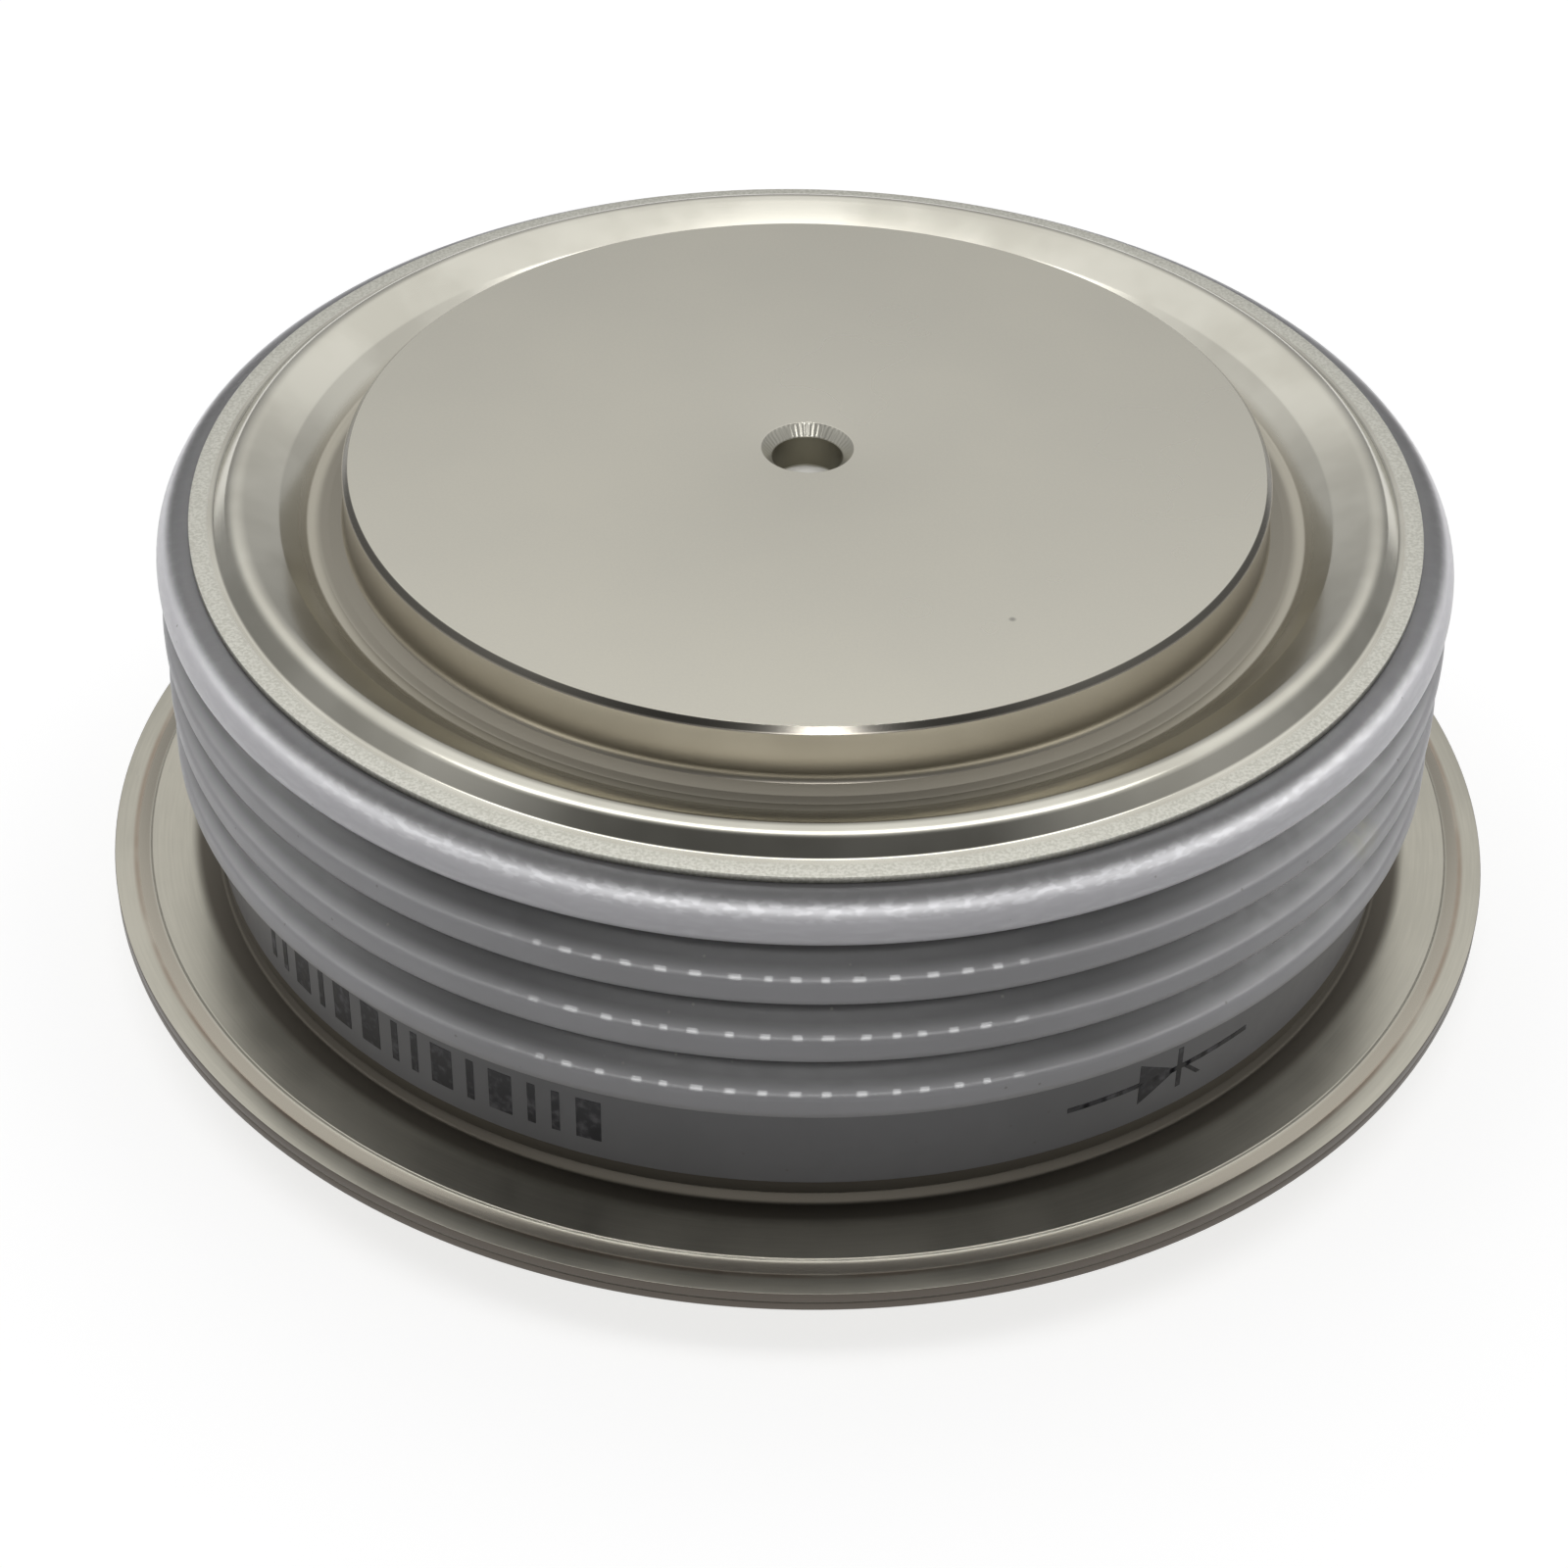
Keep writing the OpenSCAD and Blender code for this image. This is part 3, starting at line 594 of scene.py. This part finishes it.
innerLooks = {  # two colours, metallic, roughness, then pitch, waves and depth of the fine lines
    "molybdenum": ((0.40, 0.41, 0.43), (0.54, 0.55, 0.57), 1.0, (0.35, 0.5), 0.12, 6, 0.002),
    "silicon": ((0.12, 0.135, 0.16), (0.2, 0.22, 0.26), 0.7, (0.08, 0.16), 0.6, 3, 0.0004),
    "silicone_rubber": ((0.40, 0.14, 0.09), (0.52, 0.21, 0.14), 0.0, (0.45, 0.65), 0.5, 4, 0.01),
    "white_plastic": ((0.80, 0.79, 0.74), (0.88, 0.87, 0.83), 0.0, (0.38, 0.5), 0.15, 8, 0.003),
    "spring_steel": ((0.46, 0.46, 0.45), (0.58, 0.58, 0.57), 1.0, (0.2, 0.32), 0.08, 5, 0.001),
    "silvered_metal": ((0.74, 0.72, 0.67), (0.84, 0.83, 0.79), 1.0, (0.18, 0.3), 0.1, 6, 0.001),
    "lead_metal": ((0.60, 0.36, 0.21), (0.76, 0.52, 0.33), 1.0, (0.22, 0.36), 0.06, 4, 0.001),
    "gate_metal": ((0.60, 0.58, 0.50), (0.70, 0.68, 0.60), 1.0, (0.2, 0.3), 0.07, 5, 0.0008),
    "braze_metal": ((0.62, 0.60, 0.52), (0.74, 0.72, 0.64), 1.0, (0.22, 0.36), 0.4, 3, 0.004),
}


def makeInnerFinish(name, look):
    shade, light, metallic, roughness, pitch, waves, depth = look
    finish, tree = newFinish(name)
    lines = ringLines(tree, coordsOf(tree), pitch, waves)
    colour = tint(tree, remap(tree, lines, *wideNoise), shade, light)
    rough = remap(tree, lines, *wideNoise, *roughness)
    return closeFinish(finish, colour, rough, relief(tree, lines, depth), metallic=metallic)


# sizes that several pieces share, read from the frame

anodeLow, anodeHigh = boxOf("anode_pole")
cathodeHigh = boxOf("cathode_pole")[1]
ceramicLow, ceramicHigh = boxOf("ceramic_housing")
flangeLow, flangeHigh = boxOf("ceramic_flange")
tubeLow, tubeHigh = boxOf("gate_tube")
collarLow, collarHigh = boxOf("gate_collar")
gateBoreZ = boxOf("gate_cup")[0].z
gateZ = (tubeLow.z + tubeHigh.z) / 2
flangeR = flangeHigh.x
seamZ = flangeLow.z

ceramicSizes = {
    "ribs": 3, "ribDepth": 1.55, "ribFlank": 1.125, "ribFace": 1.25, "ribEdge": 0.5, "ribFoot": 0.9,
    "grooveRound": 0.15, "topRibHeight": 2.1, "shoulderRound": 1.5,
    "wall": 3.95, "boreChamfer": 0.6, "strip": 0.75, "glaze": 0.05, "edge": 0.05,
}
ribPitch = ceramicSizes["ribFace"] + 2 * ceramicSizes["ribFlank"]
firstGroove = ceramicHigh.z - ceramicSizes["topRibHeight"] - ceramicSizes["ribFlank"]
bandR = ceramicHigh.x - ceramicSizes["ribDepth"]
stripTop = ceramicLow.z + ceramicSizes["strip"]
lastGroove = firstGroove - ceramicSizes["ribs"] * ribPitch
glazeRows = {  # the top rib, the first of the upper edges where the glaze beads, and the band's upper end
    "radius": ceramicHigh.x, "top": ceramicHigh.z, "first": firstGroove - ceramicSizes["ribFlank"],
    "pitch": ribPitch, "last": lastGroove,
}

copper = makePlatedCopper(poleLook)
sheet = makePlatedSheet(sheetLook)
flange = makeFlangeSheet(flangeLook)
glaze = makeGlazedAlumina(ceramicLook, stripTop, glazeRows)
inner = {name: makeInnerFinish(name, look) for name, look in innerLooks.items()}
print("finishes made:", len(bpy.data.materials))


# the poles: a lapped face with a dowel hole, a neck with a rounded foot, a spigot and a wider body

poleSizes = {
    "faceR": 23.5, "edge": 0.3, "spigotStep": 0.8, "shoulderStep": 1.0, "footRound": 0.7, "glint": 0.05,
    "dowelR": 1.8, "dowelDepth": 2.2, "dowelPoint": 0.6, "dowelChamfer": 0.55,
    "gateBoreR": 4.0, "slotW": 2.5,
}
spigotR = poleSizes["faceR"] + poleSizes["spigotStep"]
bodyR = spigotR + poleSizes["shoulderStep"]


def poleCorners(sizes, floorDepth, seat, length):  # face at height 0, body below it
    glint = sizes["glint"]
    mouth = sizes["dowelR"] + sizes["dowelChamfer"]
    return [
        (0, -sizes["dowelDepth"] - sizes["dowelPoint"], 0),
        (sizes["dowelR"], -sizes["dowelDepth"], glint),
        (sizes["dowelR"], -sizes["dowelChamfer"], glint),
        (mouth, 0, glint),
        (sizes["faceR"] - sizes["edge"], 0, glint),
        (sizes["faceR"], -sizes["edge"], glint),
        (sizes["faceR"], -floorDepth, sizes["footRound"]),
        (spigotR, -floorDepth, 0),
        (spigotR, -seat, 0),
        (bodyR, -seat, glint),
        (bodyR, sizes["edge"] - length, glint),
        (bodyR - sizes["edge"], -length, glint),
    ]


beadSizes = {
    "braze": 0.05, "channelDrop": 1.05, "channelWidth": 1.05, "rampWidth": 1.35, "rampHeight": 1.0,
    "domeWidth": 2.2, "crestHeight": 1.1, "wallWidth": 1.1, "crestRound": 0.9, "bendRound": 0.3,
}
diaphragmSizes = {"sheet": 0.35, "edge": 0.03, "sealInset": 0.2}
flangeSizes = {
    "sheet": 0.55, "edge": 0.1, "rimWidth": 1.2, "rimSlope": 0.8, "rimDrop": 0.25, "landInset": 0.5,
    "landSlope": 0.6, "bendRound": 0.8, "burrWidth": 0.07, "burrDrop": 0.1,
}
diaphragmZ = ceramicHigh.z + diaphragmSizes["sheet"]  # top of the flat seal ring
lidZ = seamZ - flangeSizes["sheet"]  # underside of the lid's flat
channelR = spigotR + beadSizes["braze"]


def beadCorners(sizes, flatZ, way):  # pressed ring from the pole out to its flat, bead up (1) or down (-1)
    rampFoot = channelR + sizes["channelWidth"]
    rampHead = rampFoot + sizes["rampWidth"]
    crest = rampHead + sizes["domeWidth"]
    floor = flatZ - way * sizes["channelDrop"]
    return [
        (channelR, floor, 0),
        (rampFoot, floor, sizes["bendRound"]),
        (rampHead, floor + way * sizes["rampHeight"], sizes["crestRound"]),
        (crest, flatZ + way * sizes["crestHeight"], sizes["crestRound"]),
        (crest + sizes["wallWidth"], flatZ, sizes["bendRound"]),
    ]


def raised(corners, height, way=1):  # corners moved to a height, or turned over
    return [(radius, height + way * z, rounding) for radius, z, rounding in corners]


anodeFloor = anodeHigh.z - diaphragmZ + beadSizes["channelDrop"]
anodeSeat = anodeFloor + diaphragmSizes["sheet"]
anodeCorners = poleCorners(poleSizes, anodeFloor, anodeSeat, anodeHigh.z - anodeLow.z)
anodeCorners.append((0, anodeLow.z - anodeHigh.z, 0))
anodePole = turnedPiece("anode_pole_plated", raised(anodeCorners, anodeHigh.z), copper)
place(anodePole, "anode_pole")

cathodeFloor = lidZ + beadSizes["channelDrop"]
cathodeCorners = poleCorners(poleSizes, cathodeFloor, cathodeFloor + flangeSizes["sheet"], cathodeHigh.z)
cathodeCorners += [
    (poleSizes["gateBoreR"], -cathodeHigh.z, poleSizes["glint"]),
    (poleSizes["gateBoreR"], -gateBoreZ, poleSizes["glint"]),
    (0, -gateBoreZ, 0),
]


def slotCutter(sizes):  # block that clears the radial slot for the gate lead
    half = sizes["slotW"] / 2
    low = gateZ - half
    reach = bodyR + cutterOverrun
    top = cathodeHigh.z + cutterOverrun
    points = [(x, y, z) for x in (-half, half) for y in (0, reach) for z in (low, top)]
    faces = [(0, 1, 3, 2), (4, 6, 7, 5), (0, 4, 5, 1), (2, 3, 7, 6), (0, 2, 6, 4), (1, 5, 7, 3)]
    mesh = bpy.data.meshes.new("slot")
    mesh.from_pydata([Vector(point) * mm for point in points], [], faces)
    return newPiece("slot_cutter", mesh)


cathodeTurned = list(reversed(raised(cathodeCorners, 0, -1)))
cathodePole = turnedPiece("cathode_pole_plated", cathodeTurned, copper, cutters=[slotCutter(poleSizes)])
place(cathodePole, "cathode_pole")
print("poles made")


# pressed sheet rings: the anode diaphragm, the flange under the ceramic and the cathode lid

def pressedRing(name, corners, finish, sizes):
    return turnedPiece(name, corners, finish, sheet=sizes["sheet"], edge=sizes["edge"])


sealR = bandR - diaphragmSizes["sealInset"]
diaphragmCorners = beadCorners(beadSizes, diaphragmZ, 1) + [(sealR, diaphragmZ, 0)]
diaphragm = pressedRing("anode_diaphragm_pressed", diaphragmCorners, sheet, diaphragmSizes)
place(diaphragm, "anode_diaphragm")

rimZ = seamZ + flangeSizes["sheet"]
flatZ = rimZ + flangeSizes["rimDrop"]
footR = bandR - ceramicSizes["glaze"]
landR = footR - flangeSizes["landInset"]
boreR = bandR - ceramicSizes["wall"]
slopeR = flangeR - flangeSizes["rimWidth"]
flangeCorners = [
    (boreR + ceramicSizes["boreChamfer"], ceramicLow.z, 0),
    (landR, ceramicLow.z, flangeSizes["bendRound"]),
    (landR + flangeSizes["landSlope"], flatZ, beadSizes["bendRound"]),
    (slopeR - flangeSizes["rimSlope"], flatZ, flangeSizes["edge"]),
    (slopeR - flangeSizes["rimSlope"] + flangeSizes["burrWidth"], flatZ - flangeSizes["burrDrop"], 0),
    (slopeR, rimZ, beadSizes["bendRound"]),
    (flangeR, rimZ, 0),
]
upperFlange = pressedRing("ceramic_flange_pressed", flangeCorners, flange, flangeSizes)
place(upperFlange, "ceramic_flange")

lidCorners = beadCorners(beadSizes, lidZ, -1) + [(flangeR, lidZ, 0)]
lid = pressedRing("cathode_lid_pressed", lidCorners[::-1], flange, flangeSizes)
place(lid, "cathode_lid")
print("sheet rings made")


# braze that fills the narrow gap between each pole and its sheet ring

brazeSizes = {
    "inside": 0.69, "rise": 0.243, "crown": 0.06, "outside": 0.6, "outerDrop": 0.01, "sink": 0.06,
    "round": 0.5,
}


def brazeCorners(sizes, floor, way):  # thin ring on the channel's floor, facing up (1) or down (-1)
    inside, outside = channelR - sizes["inside"], channelR + sizes["outside"]
    corners = [
        (inside, sizes["rise"], 0),
        (channelR, sizes["crown"], sizes["round"]),
        (outside, -sizes["outerDrop"], 0),
        (outside, -sizes["sink"], 0),
        (inside, -sizes["sink"], 0),
    ]
    return raised(corners, floor, way)


upperBraze = brazeCorners(brazeSizes, anodeHigh.z - anodeFloor, 1)
place(turnedPiece("anode_braze", upperBraze, sheet, loop=True))
lowerBraze = brazeCorners(brazeSizes, cathodeFloor, -1)
place(turnedPiece("cathode_braze", lowerBraze, flange, loop=True))
print("braze rings made")


# the ceramic ring, with the gate tube's hole and the collar's seat cut into its plain band

gateSizes = {
    "terminalR": 0.75, "tipEdge": 0.25, "tipWall": 0.6, "wireHoleR": 0.45, "holeClear": 0.05,
    "seatClear": 0.1, "glint": 0.06, "segments": 64,
}
alongGate = Matrix.Translation((0, 0, gateZ * mm)) @ Matrix.Rotation(-math.pi / 2, 4, "X")


def gatePiece(name, corners, finish, loop=False):  # turned about the gate's axis, with fewer segments
    values = {"Segments": gateSizes["segments"]}
    return turnedPiece(name, corners, finish, values=values, loop=loop, stand=alongGate)


def gateBar(name, radius, start, end):  # round bar for cutting
    return gatePiece(name, [(0, end, 0), (radius, end, 0), (radius, start, 0), (0, start, 0)], None)


tubeR = (tubeHigh.x - tubeLow.x) / 2
collarR = (collarHigh.x - collarLow.x) / 2
holeR = tubeR + gateSizes["holeClear"]
seatR = collarR + gateSizes["seatClear"]


def ceramicOutline(sizes):  # the ring's section, left open where the ribs below its shoulder go
    ribR = bandR + sizes["ribDepth"]
    chamfer = sizes["boreChamfer"]
    corners = [
        (bandR, lastGroove, sizes["grooveRound"]),
        (bandR, stripTop, sizes["edge"]),
        (footR, stripTop, 0),
        (footR, ceramicLow.z, sizes["edge"]),
        (boreR + chamfer, ceramicLow.z, 0),
        (boreR, ceramicLow.z + chamfer, 0),
        (boreR, ceramicHigh.z - chamfer, 0),
        (boreR + chamfer, ceramicHigh.z, 0),
        (ribR, ceramicHigh.z, sizes["shoulderRound"]),
        (ribR, ceramicHigh.z - sizes["topRibHeight"], sizes["ribFoot"]),
        (bandR, firstGroove, sizes["grooveRound"]),
    ]
    lengths = {
        "Rib Pitch": ribPitch, "Rib Depth": sizes["ribDepth"], "Rib Flank": sizes["ribFlank"],
        "Rib Face": sizes["ribFace"], "Rib Edge": sizes["ribEdge"], "Rib Foot": sizes["ribFoot"],
        "Groove Round": sizes["grooveRound"], "Band Radius": bandR, "First Groove": firstGroove,
    }
    values = {label: length * mm for label, length in lengths.items()}
    return corners, {**values, "Rib Count": sizes["ribs"]}


ceramicCorners, ceramicValues = ceramicOutline(ceramicSizes)
gateCutters = [
    gateBar("tube_hole", holeR, boreR - cutterOverrun, bandR + cutterOverrun),
    gateBar("collar_seat", seatR, collarLow.y, bandR + cutterOverrun),
]
ceramic = turnedPiece(
    "ceramic_housing_glazed", ceramicCorners, glaze,
    tree=ribbedTree, values=ceramicValues, cutters=gateCutters,
)
place(ceramic, "ceramic_housing")
print("ceramic made")


# the gate terminal: a closed tube through the band, its collar, and the braze that seals them

terminalR = gateSizes["terminalR"]
tubeEnd = tubeHigh.y - gateSizes["tipWall"]
tubeCorners = [
    (0, tubeHigh.y, 0),
    (terminalR - gateSizes["tipEdge"], tubeHigh.y, gateSizes["glint"]),
    (terminalR, tubeHigh.y - gateSizes["tipEdge"], gateSizes["glint"]),
    (terminalR, collarHigh.y, gateSizes["glint"]),
    (tubeR, collarHigh.y, gateSizes["glint"]),
    (tubeR, tubeLow.y, gateSizes["glint"]),
    (gateSizes["wireHoleR"], tubeLow.y, gateSizes["glint"]),
    (gateSizes["wireHoleR"], tubeEnd, 0),
    (0, tubeEnd, 0),
]
tube = gatePiece("gate_tube_plated", tubeCorners, inner["gate_metal"])
place(tube, "gate_tube")

collarCorners = [
    (holeR, collarHigh.y, 0),
    (collarR, collarHigh.y, gateSizes["glint"]),
    (collarR, collarLow.y, gateSizes["glint"]),
    (holeR, collarLow.y, 0),
]
collar = gatePiece("gate_collar_plated", collarCorners, inner["gate_metal"], loop=True)
place(collar, "gate_collar")

filletSizes = {
    "reach": 0.22, "sink": 0.04, "hollow": 0.06, "lip": 0.01,
    "seatSink": 0.03, "seatRise": 0.1, "seatHollow": (0.05, 0.02), "seatWidth": 0.12, "seatDrop": 0.03,
}


def tubeFillet(sizes):  # where the terminal leaves the collar
    inside, outside = terminalR - sizes["sink"], holeR + sizes["reach"]
    return [
        (inside, collarHigh.y - sizes["sink"], 0),
        (inside, collarHigh.y + sizes["reach"], 0),
        (terminalR + sizes["hollow"], collarHigh.y + sizes["hollow"], sizes["reach"]),
        (outside, collarHigh.y + sizes["lip"], 0),
        (outside, collarHigh.y - sizes["sink"], 0),
    ]


def seatFillet(sizes):  # where the collar leaves the band
    inside, outside = collarR - sizes["seatSink"], seatR + sizes["seatWidth"]
    out, up = sizes["seatHollow"]
    return [
        (inside, bandR - sizes["reach"], 0),
        (inside, bandR + sizes["seatRise"], 0),
        (collarR + out, bandR + up, sizes["reach"]),
        (outside, bandR - sizes["seatDrop"], 0),
        (outside, bandR - sizes["reach"], 0),
    ]


for name, corners in (("gate_tube_braze", tubeFillet), ("gate_collar_braze", seatFillet)):
    place(gatePiece(name, corners(filletSizes), inner["braze_metal"], loop=True))
print("gate terminal made")


# plain marks on the band: a row of bars, and the sign for a controlled rectifier on its line

markSizes = {
    "low": 6.8, "high": 9.3, "sink": 0.02, "thickness": 0.035,
    "barsStart": -31.0, "barUnit": 0.42, "barGap": 0.85, "bars": (1, 1, 3, 1, 3, 3, 1, 1, 3, 1, 3, 1, 1, 3),
    "signStart": 13.5, "lineStep": 1.0, "lineSteps": 11, "stroke": 0.3, "arrowAt": 4.0, "arrowLength": 2.3,
    "gateDrop": 1.0,
}


def markOutlines(sizes):  # flat outlines in millimetres of arc and height
    low, high, stroke = sizes["low"], sizes["high"], sizes["stroke"]
    middle = (low + high) / 2

    def block(left, right, bottom, top):
        return [(left, bottom), (right, bottom), (right, top), (left, top)]

    outlines = []
    left = sizes["barsStart"]
    for width in sizes["bars"]:
        right = left + width * sizes["barUnit"]
        outlines.append(block(left, right, low, high))
        left = right + sizes["barGap"]
    for step in range(sizes["lineSteps"]):
        start = sizes["signStart"] + step * sizes["lineStep"]
        outlines.append(block(start, start + sizes["lineStep"], middle - stroke / 2, middle + stroke / 2))
    tail = sizes["signStart"] + sizes["arrowAt"]
    tip = tail + sizes["arrowLength"]
    outlines.append([(tail, low), (tip, middle), (tail, high)])
    outlines.append(block(tip, tip + stroke, low, high))
    gate = tip + stroke
    drop = sizes["gateDrop"]
    outlines.append([(gate, middle), (gate + drop, middle - drop), (gate + drop + stroke, middle - drop),
                     (gate + stroke, middle)])
    return outlines


def makeMarks(sizes, finish):
    mesh = bpy.data.meshes.new("marks")
    points, faces = [], []
    for outline in markOutlines(sizes):
        faces.append(range(len(points), len(points) + len(outline)))
        points += [(along * mm, height * mm, 0) for along, height in outline]
    mesh.from_pydata(points, [], faces)
    marks = newPiece("band_marks", mesh)
    lengths = {"Band Radius": bandR, "Sink": sizes["sink"], "Thickness": sizes["thickness"]}
    values = {label: length * mm for label, length in lengths.items()}
    runTree(marks, wrapTree, {**values, "Material": finish})
    settle(marks)
    faceOut(marks)
    smooth(marks, turning["sharpAngle"])
    return place(marks)


makeMarks(markSizes, makeInk(inkLook))
print("marks made")


# finishes of the pieces inside, which keep their own solids

for item in frame["record"]["subparts"]:
    solid = frame["nodes"][item["node"]]
    if not solid.hide_render:
        for holder in solid.material_slots:
            holder.material = inner[item["material_slot"]]
print("inner pieces finished")


# camera, floor and light

cameraSizes = {
    "place": (0.0, -139.96, 116.15), "aim": (-0.827, 0.0, 4.64), "roll": 1.234, "lens": 74.88, "sensor": 36,
    "clipStart": 10,
}


def makeCamera(sizes):
    data = bpy.data.cameras.new("photo_view")
    data.sensor_width = sizes["sensor"]
    data.lens = sizes["lens"]
    data.clip_start = sizes["clipStart"] * mm
    camera = bpy.data.objects.new("photo_view", data)
    scene.collection.objects.link(camera)
    spot = Vector(sizes["place"]) * mm
    look = (Vector(sizes["aim"]) * mm - spot).to_track_quat("-Z", "Y").to_matrix().to_4x4()
    roll = Matrix.Rotation(math.radians(sizes["roll"]), 4, "Z")
    camera.matrix_world = Matrix.Translation(spot) @ look @ roll
    scene.camera = camera


floorLook = {"half": 3.0, "drop": 0.00002, "colour": 0.45, "glow": 0.715}  # half and drop in metres


def makeFloor(look):
    half = look["half"]
    mesh = bpy.data.meshes.new("floor")
    corners = [(-half, -half), (half, -half), (half, half), (-half, half)]
    mesh.from_pydata([(x, y, -look["drop"]) for x, y in corners], [], [(0, 1, 2, 3)])
    floor = newPiece("floor", mesh)
    finish, tree = newFinish("pale_floor")
    matt = put(tree, "ShaderNodeBsdfDiffuse", {"Color": (look["colour"],) * 3 + (1.0,)}).outputs[0]
    rays = put(tree, "ShaderNodeLightPath").outputs
    seen = calc(tree, "MAXIMUM", rays["Is Camera Ray"], rays["Is Glossy Ray"])
    seen = calc(tree, "MAXIMUM", seen, rays["Is Transmission Ray"])
    glow = put(tree, "ShaderNodeEmission", {"Strength": times(tree, seen, look["glow"])}).outputs[0]
    both = put(tree, "ShaderNodeAddShader", {0: matt, 1: glow}).outputs[0]
    under = put(tree, "ShaderNodeNewGeometry").outputs["Backfacing"]  # clear from below
    clear = put(tree, "ShaderNodeBsdfTransparent").outputs[0]
    surface = put(tree, "ShaderNodeMixShader", {0: under, 1: both, 2: clear}).outputs[0]
    put(tree, "ShaderNodeOutputMaterial", {"Surface": surface})
    mesh.materials.append(finish)


# brightness of the studio, from the back horizon (0) over the top (0.5) to the front horizon (1),
# and of its sides by height
studioLook = {
    "strength": 2.2,
    "arch": [
        (0.0, 0.165), (0.06, 0.18), (0.12, 0.23), (0.16, 0.268), (0.18, 0.29), (0.205, 0.35),
        (0.225, 0.41), (0.28, 0.445), (0.36, 0.43), (0.44, 0.46), (0.475, 0.46), (0.535, 0.44),
        (0.58, 0.24), (0.64, 0.045), (0.80, 0.04), (1.0, 0.07),
    ],
    "sides": [(0.0, 0.11), (0.30, 0.135), (0.60, 0.165), (0.85, 0.26), (1.0, 0.8)],
    "sideStart": 0.40, "sideEnd": 0.90,
}
# cards aimed at the capsule, in metres: each lights one piece, and the top card all but the upper pole
cardLooks = {
    "front_card": {"lights": "glazed", "radiance": 11.0, "size": (1.5, 0.34), "place": (0.0, -0.75, 0.80)},
    "left_card": {"lights": "glazed", "radiance": 5.0, "size": (1.5, 0.5), "place": (-0.95, 0.0, 0.55)},
    "right_card": {"lights": "glazed", "radiance": 7.3, "size": (1.5, 0.5), "place": (0.95, 0.0, 0.55)},
    "back_card": {"lights": "glazed", "radiance": 4.5, "size": (1.5, 0.34), "place": (0.0, 0.75, 0.80)},
    "lip_card": {"lights": "pole", "radiance": 16.0, "size": (0.12, 0.25), "place": (0.083, -0.705, 0.84)},
    "hole_card": {"lights": "pole", "radiance": 4.5, "size": (0.25, 0.2), "place": (0.0, 0.12, 1.0)},
    "rim_card": {"lights": "flange", "radiance": 1.6, "size": (1.5, 0.34), "place": (0.0, -0.75, 0.80)},
    "top_card": {"lights": "rest", "radiance": 1.45, "size": (1.68, 0.36), "place": (0.0, -0.03, 1.2)},
}


def greyRamp(tree, value, stops):
    ramp = put(tree, "ShaderNodeValToRGB", {0: value})
    elements = ramp.color_ramp.elements
    while len(elements) < len(stops):
        elements.new(0.5)
    for element, (position, level) in zip(elements, stops):
        element.position = position
        element.color = (level, level, level, 1.0)
    return ramp.outputs["Color"]


def makeStudio(look):
    world = bpy.data.worlds.new("studio")
    world.use_nodes = True
    scene.world = world
    tree = world.node_tree
    tree.nodes.clear()
    direction = put(tree, "ShaderNodeTexCoord").outputs["Generated"]
    x, y, z = put(tree, "ShaderNodeSeparateXYZ", {0: direction}).outputs
    arch = greyRamp(tree, calc(tree, "DIVIDE", calc(tree, "ARCTAN2", z, y), math.pi), look["arch"])
    sides = greyRamp(tree, z, look["sides"])
    share = remap(tree, calc(tree, "ABSOLUTE", x), look["sideStart"], look["sideEnd"])
    light = put(tree, "ShaderNodeMix", {0: share, 6: arch, 7: sides}, data_type="RGBA").outputs[2]
    back = put(tree, "ShaderNodeBackground", {"Color": light, "Strength": look["strength"]}).outputs[0]
    plain = put(tree, "ShaderNodeBackground", {"Color": (1.0, 1.0, 1.0, 1.0)}).outputs[0]
    seen = put(tree, "ShaderNodeLightPath").outputs["Is Camera Ray"]
    both = put(tree, "ShaderNodeMixShader", {0: seen, 1: back, 2: plain}).outputs[0]
    put(tree, "ShaderNodeOutputWorld", {"Surface": both})


def makeCard(name, look, receivers):
    data = bpy.data.lights.new(name, "AREA")
    data.shape = "RECTANGLE"
    data.size, data.size_y = look["size"]
    data.energy = look["radiance"] * math.pi * data.size * data.size_y
    card = bpy.data.objects.new(name, data)
    scene.collection.objects.link(card)
    spot = Vector(look["place"])
    card.matrix_world = Matrix.Translation(spot) @ (-spot).to_track_quat("-Z", "Y").to_matrix().to_4x4()
    card.visible_camera = False
    if look["lights"] != "rest":  # a glint on one piece, not seen in a second reflection
        data.cycles.max_bounces = 0
        data.cycles.use_multiple_importance_sampling = False
        card.visible_diffuse = False
    card.light_linking.receiver_collection = receivers


makeCamera(cameraSizes)
makeFloor(floorLook)
makeStudio(studioLook)
lit = {}
for name, piece in {"glazed": ceramic, "pole": anodePole, "flange": upperFlange}.items():
    lit[name] = bpy.data.collections.new(name)
    lit[name].objects.link(piece)
lit["rest"] = bpy.data.collections.new("rest")  # every piece but the upper pole
lit["rest"].objects.link(anodePole)
lit["rest"].collection_objects[0].light_linking.link_state = "EXCLUDE"
for name, look in cardLooks.items():
    makeCard(name, look, lit[look["lights"]])
scene.view_settings.view_transform = "Standard"
print("camera, floor and light made")
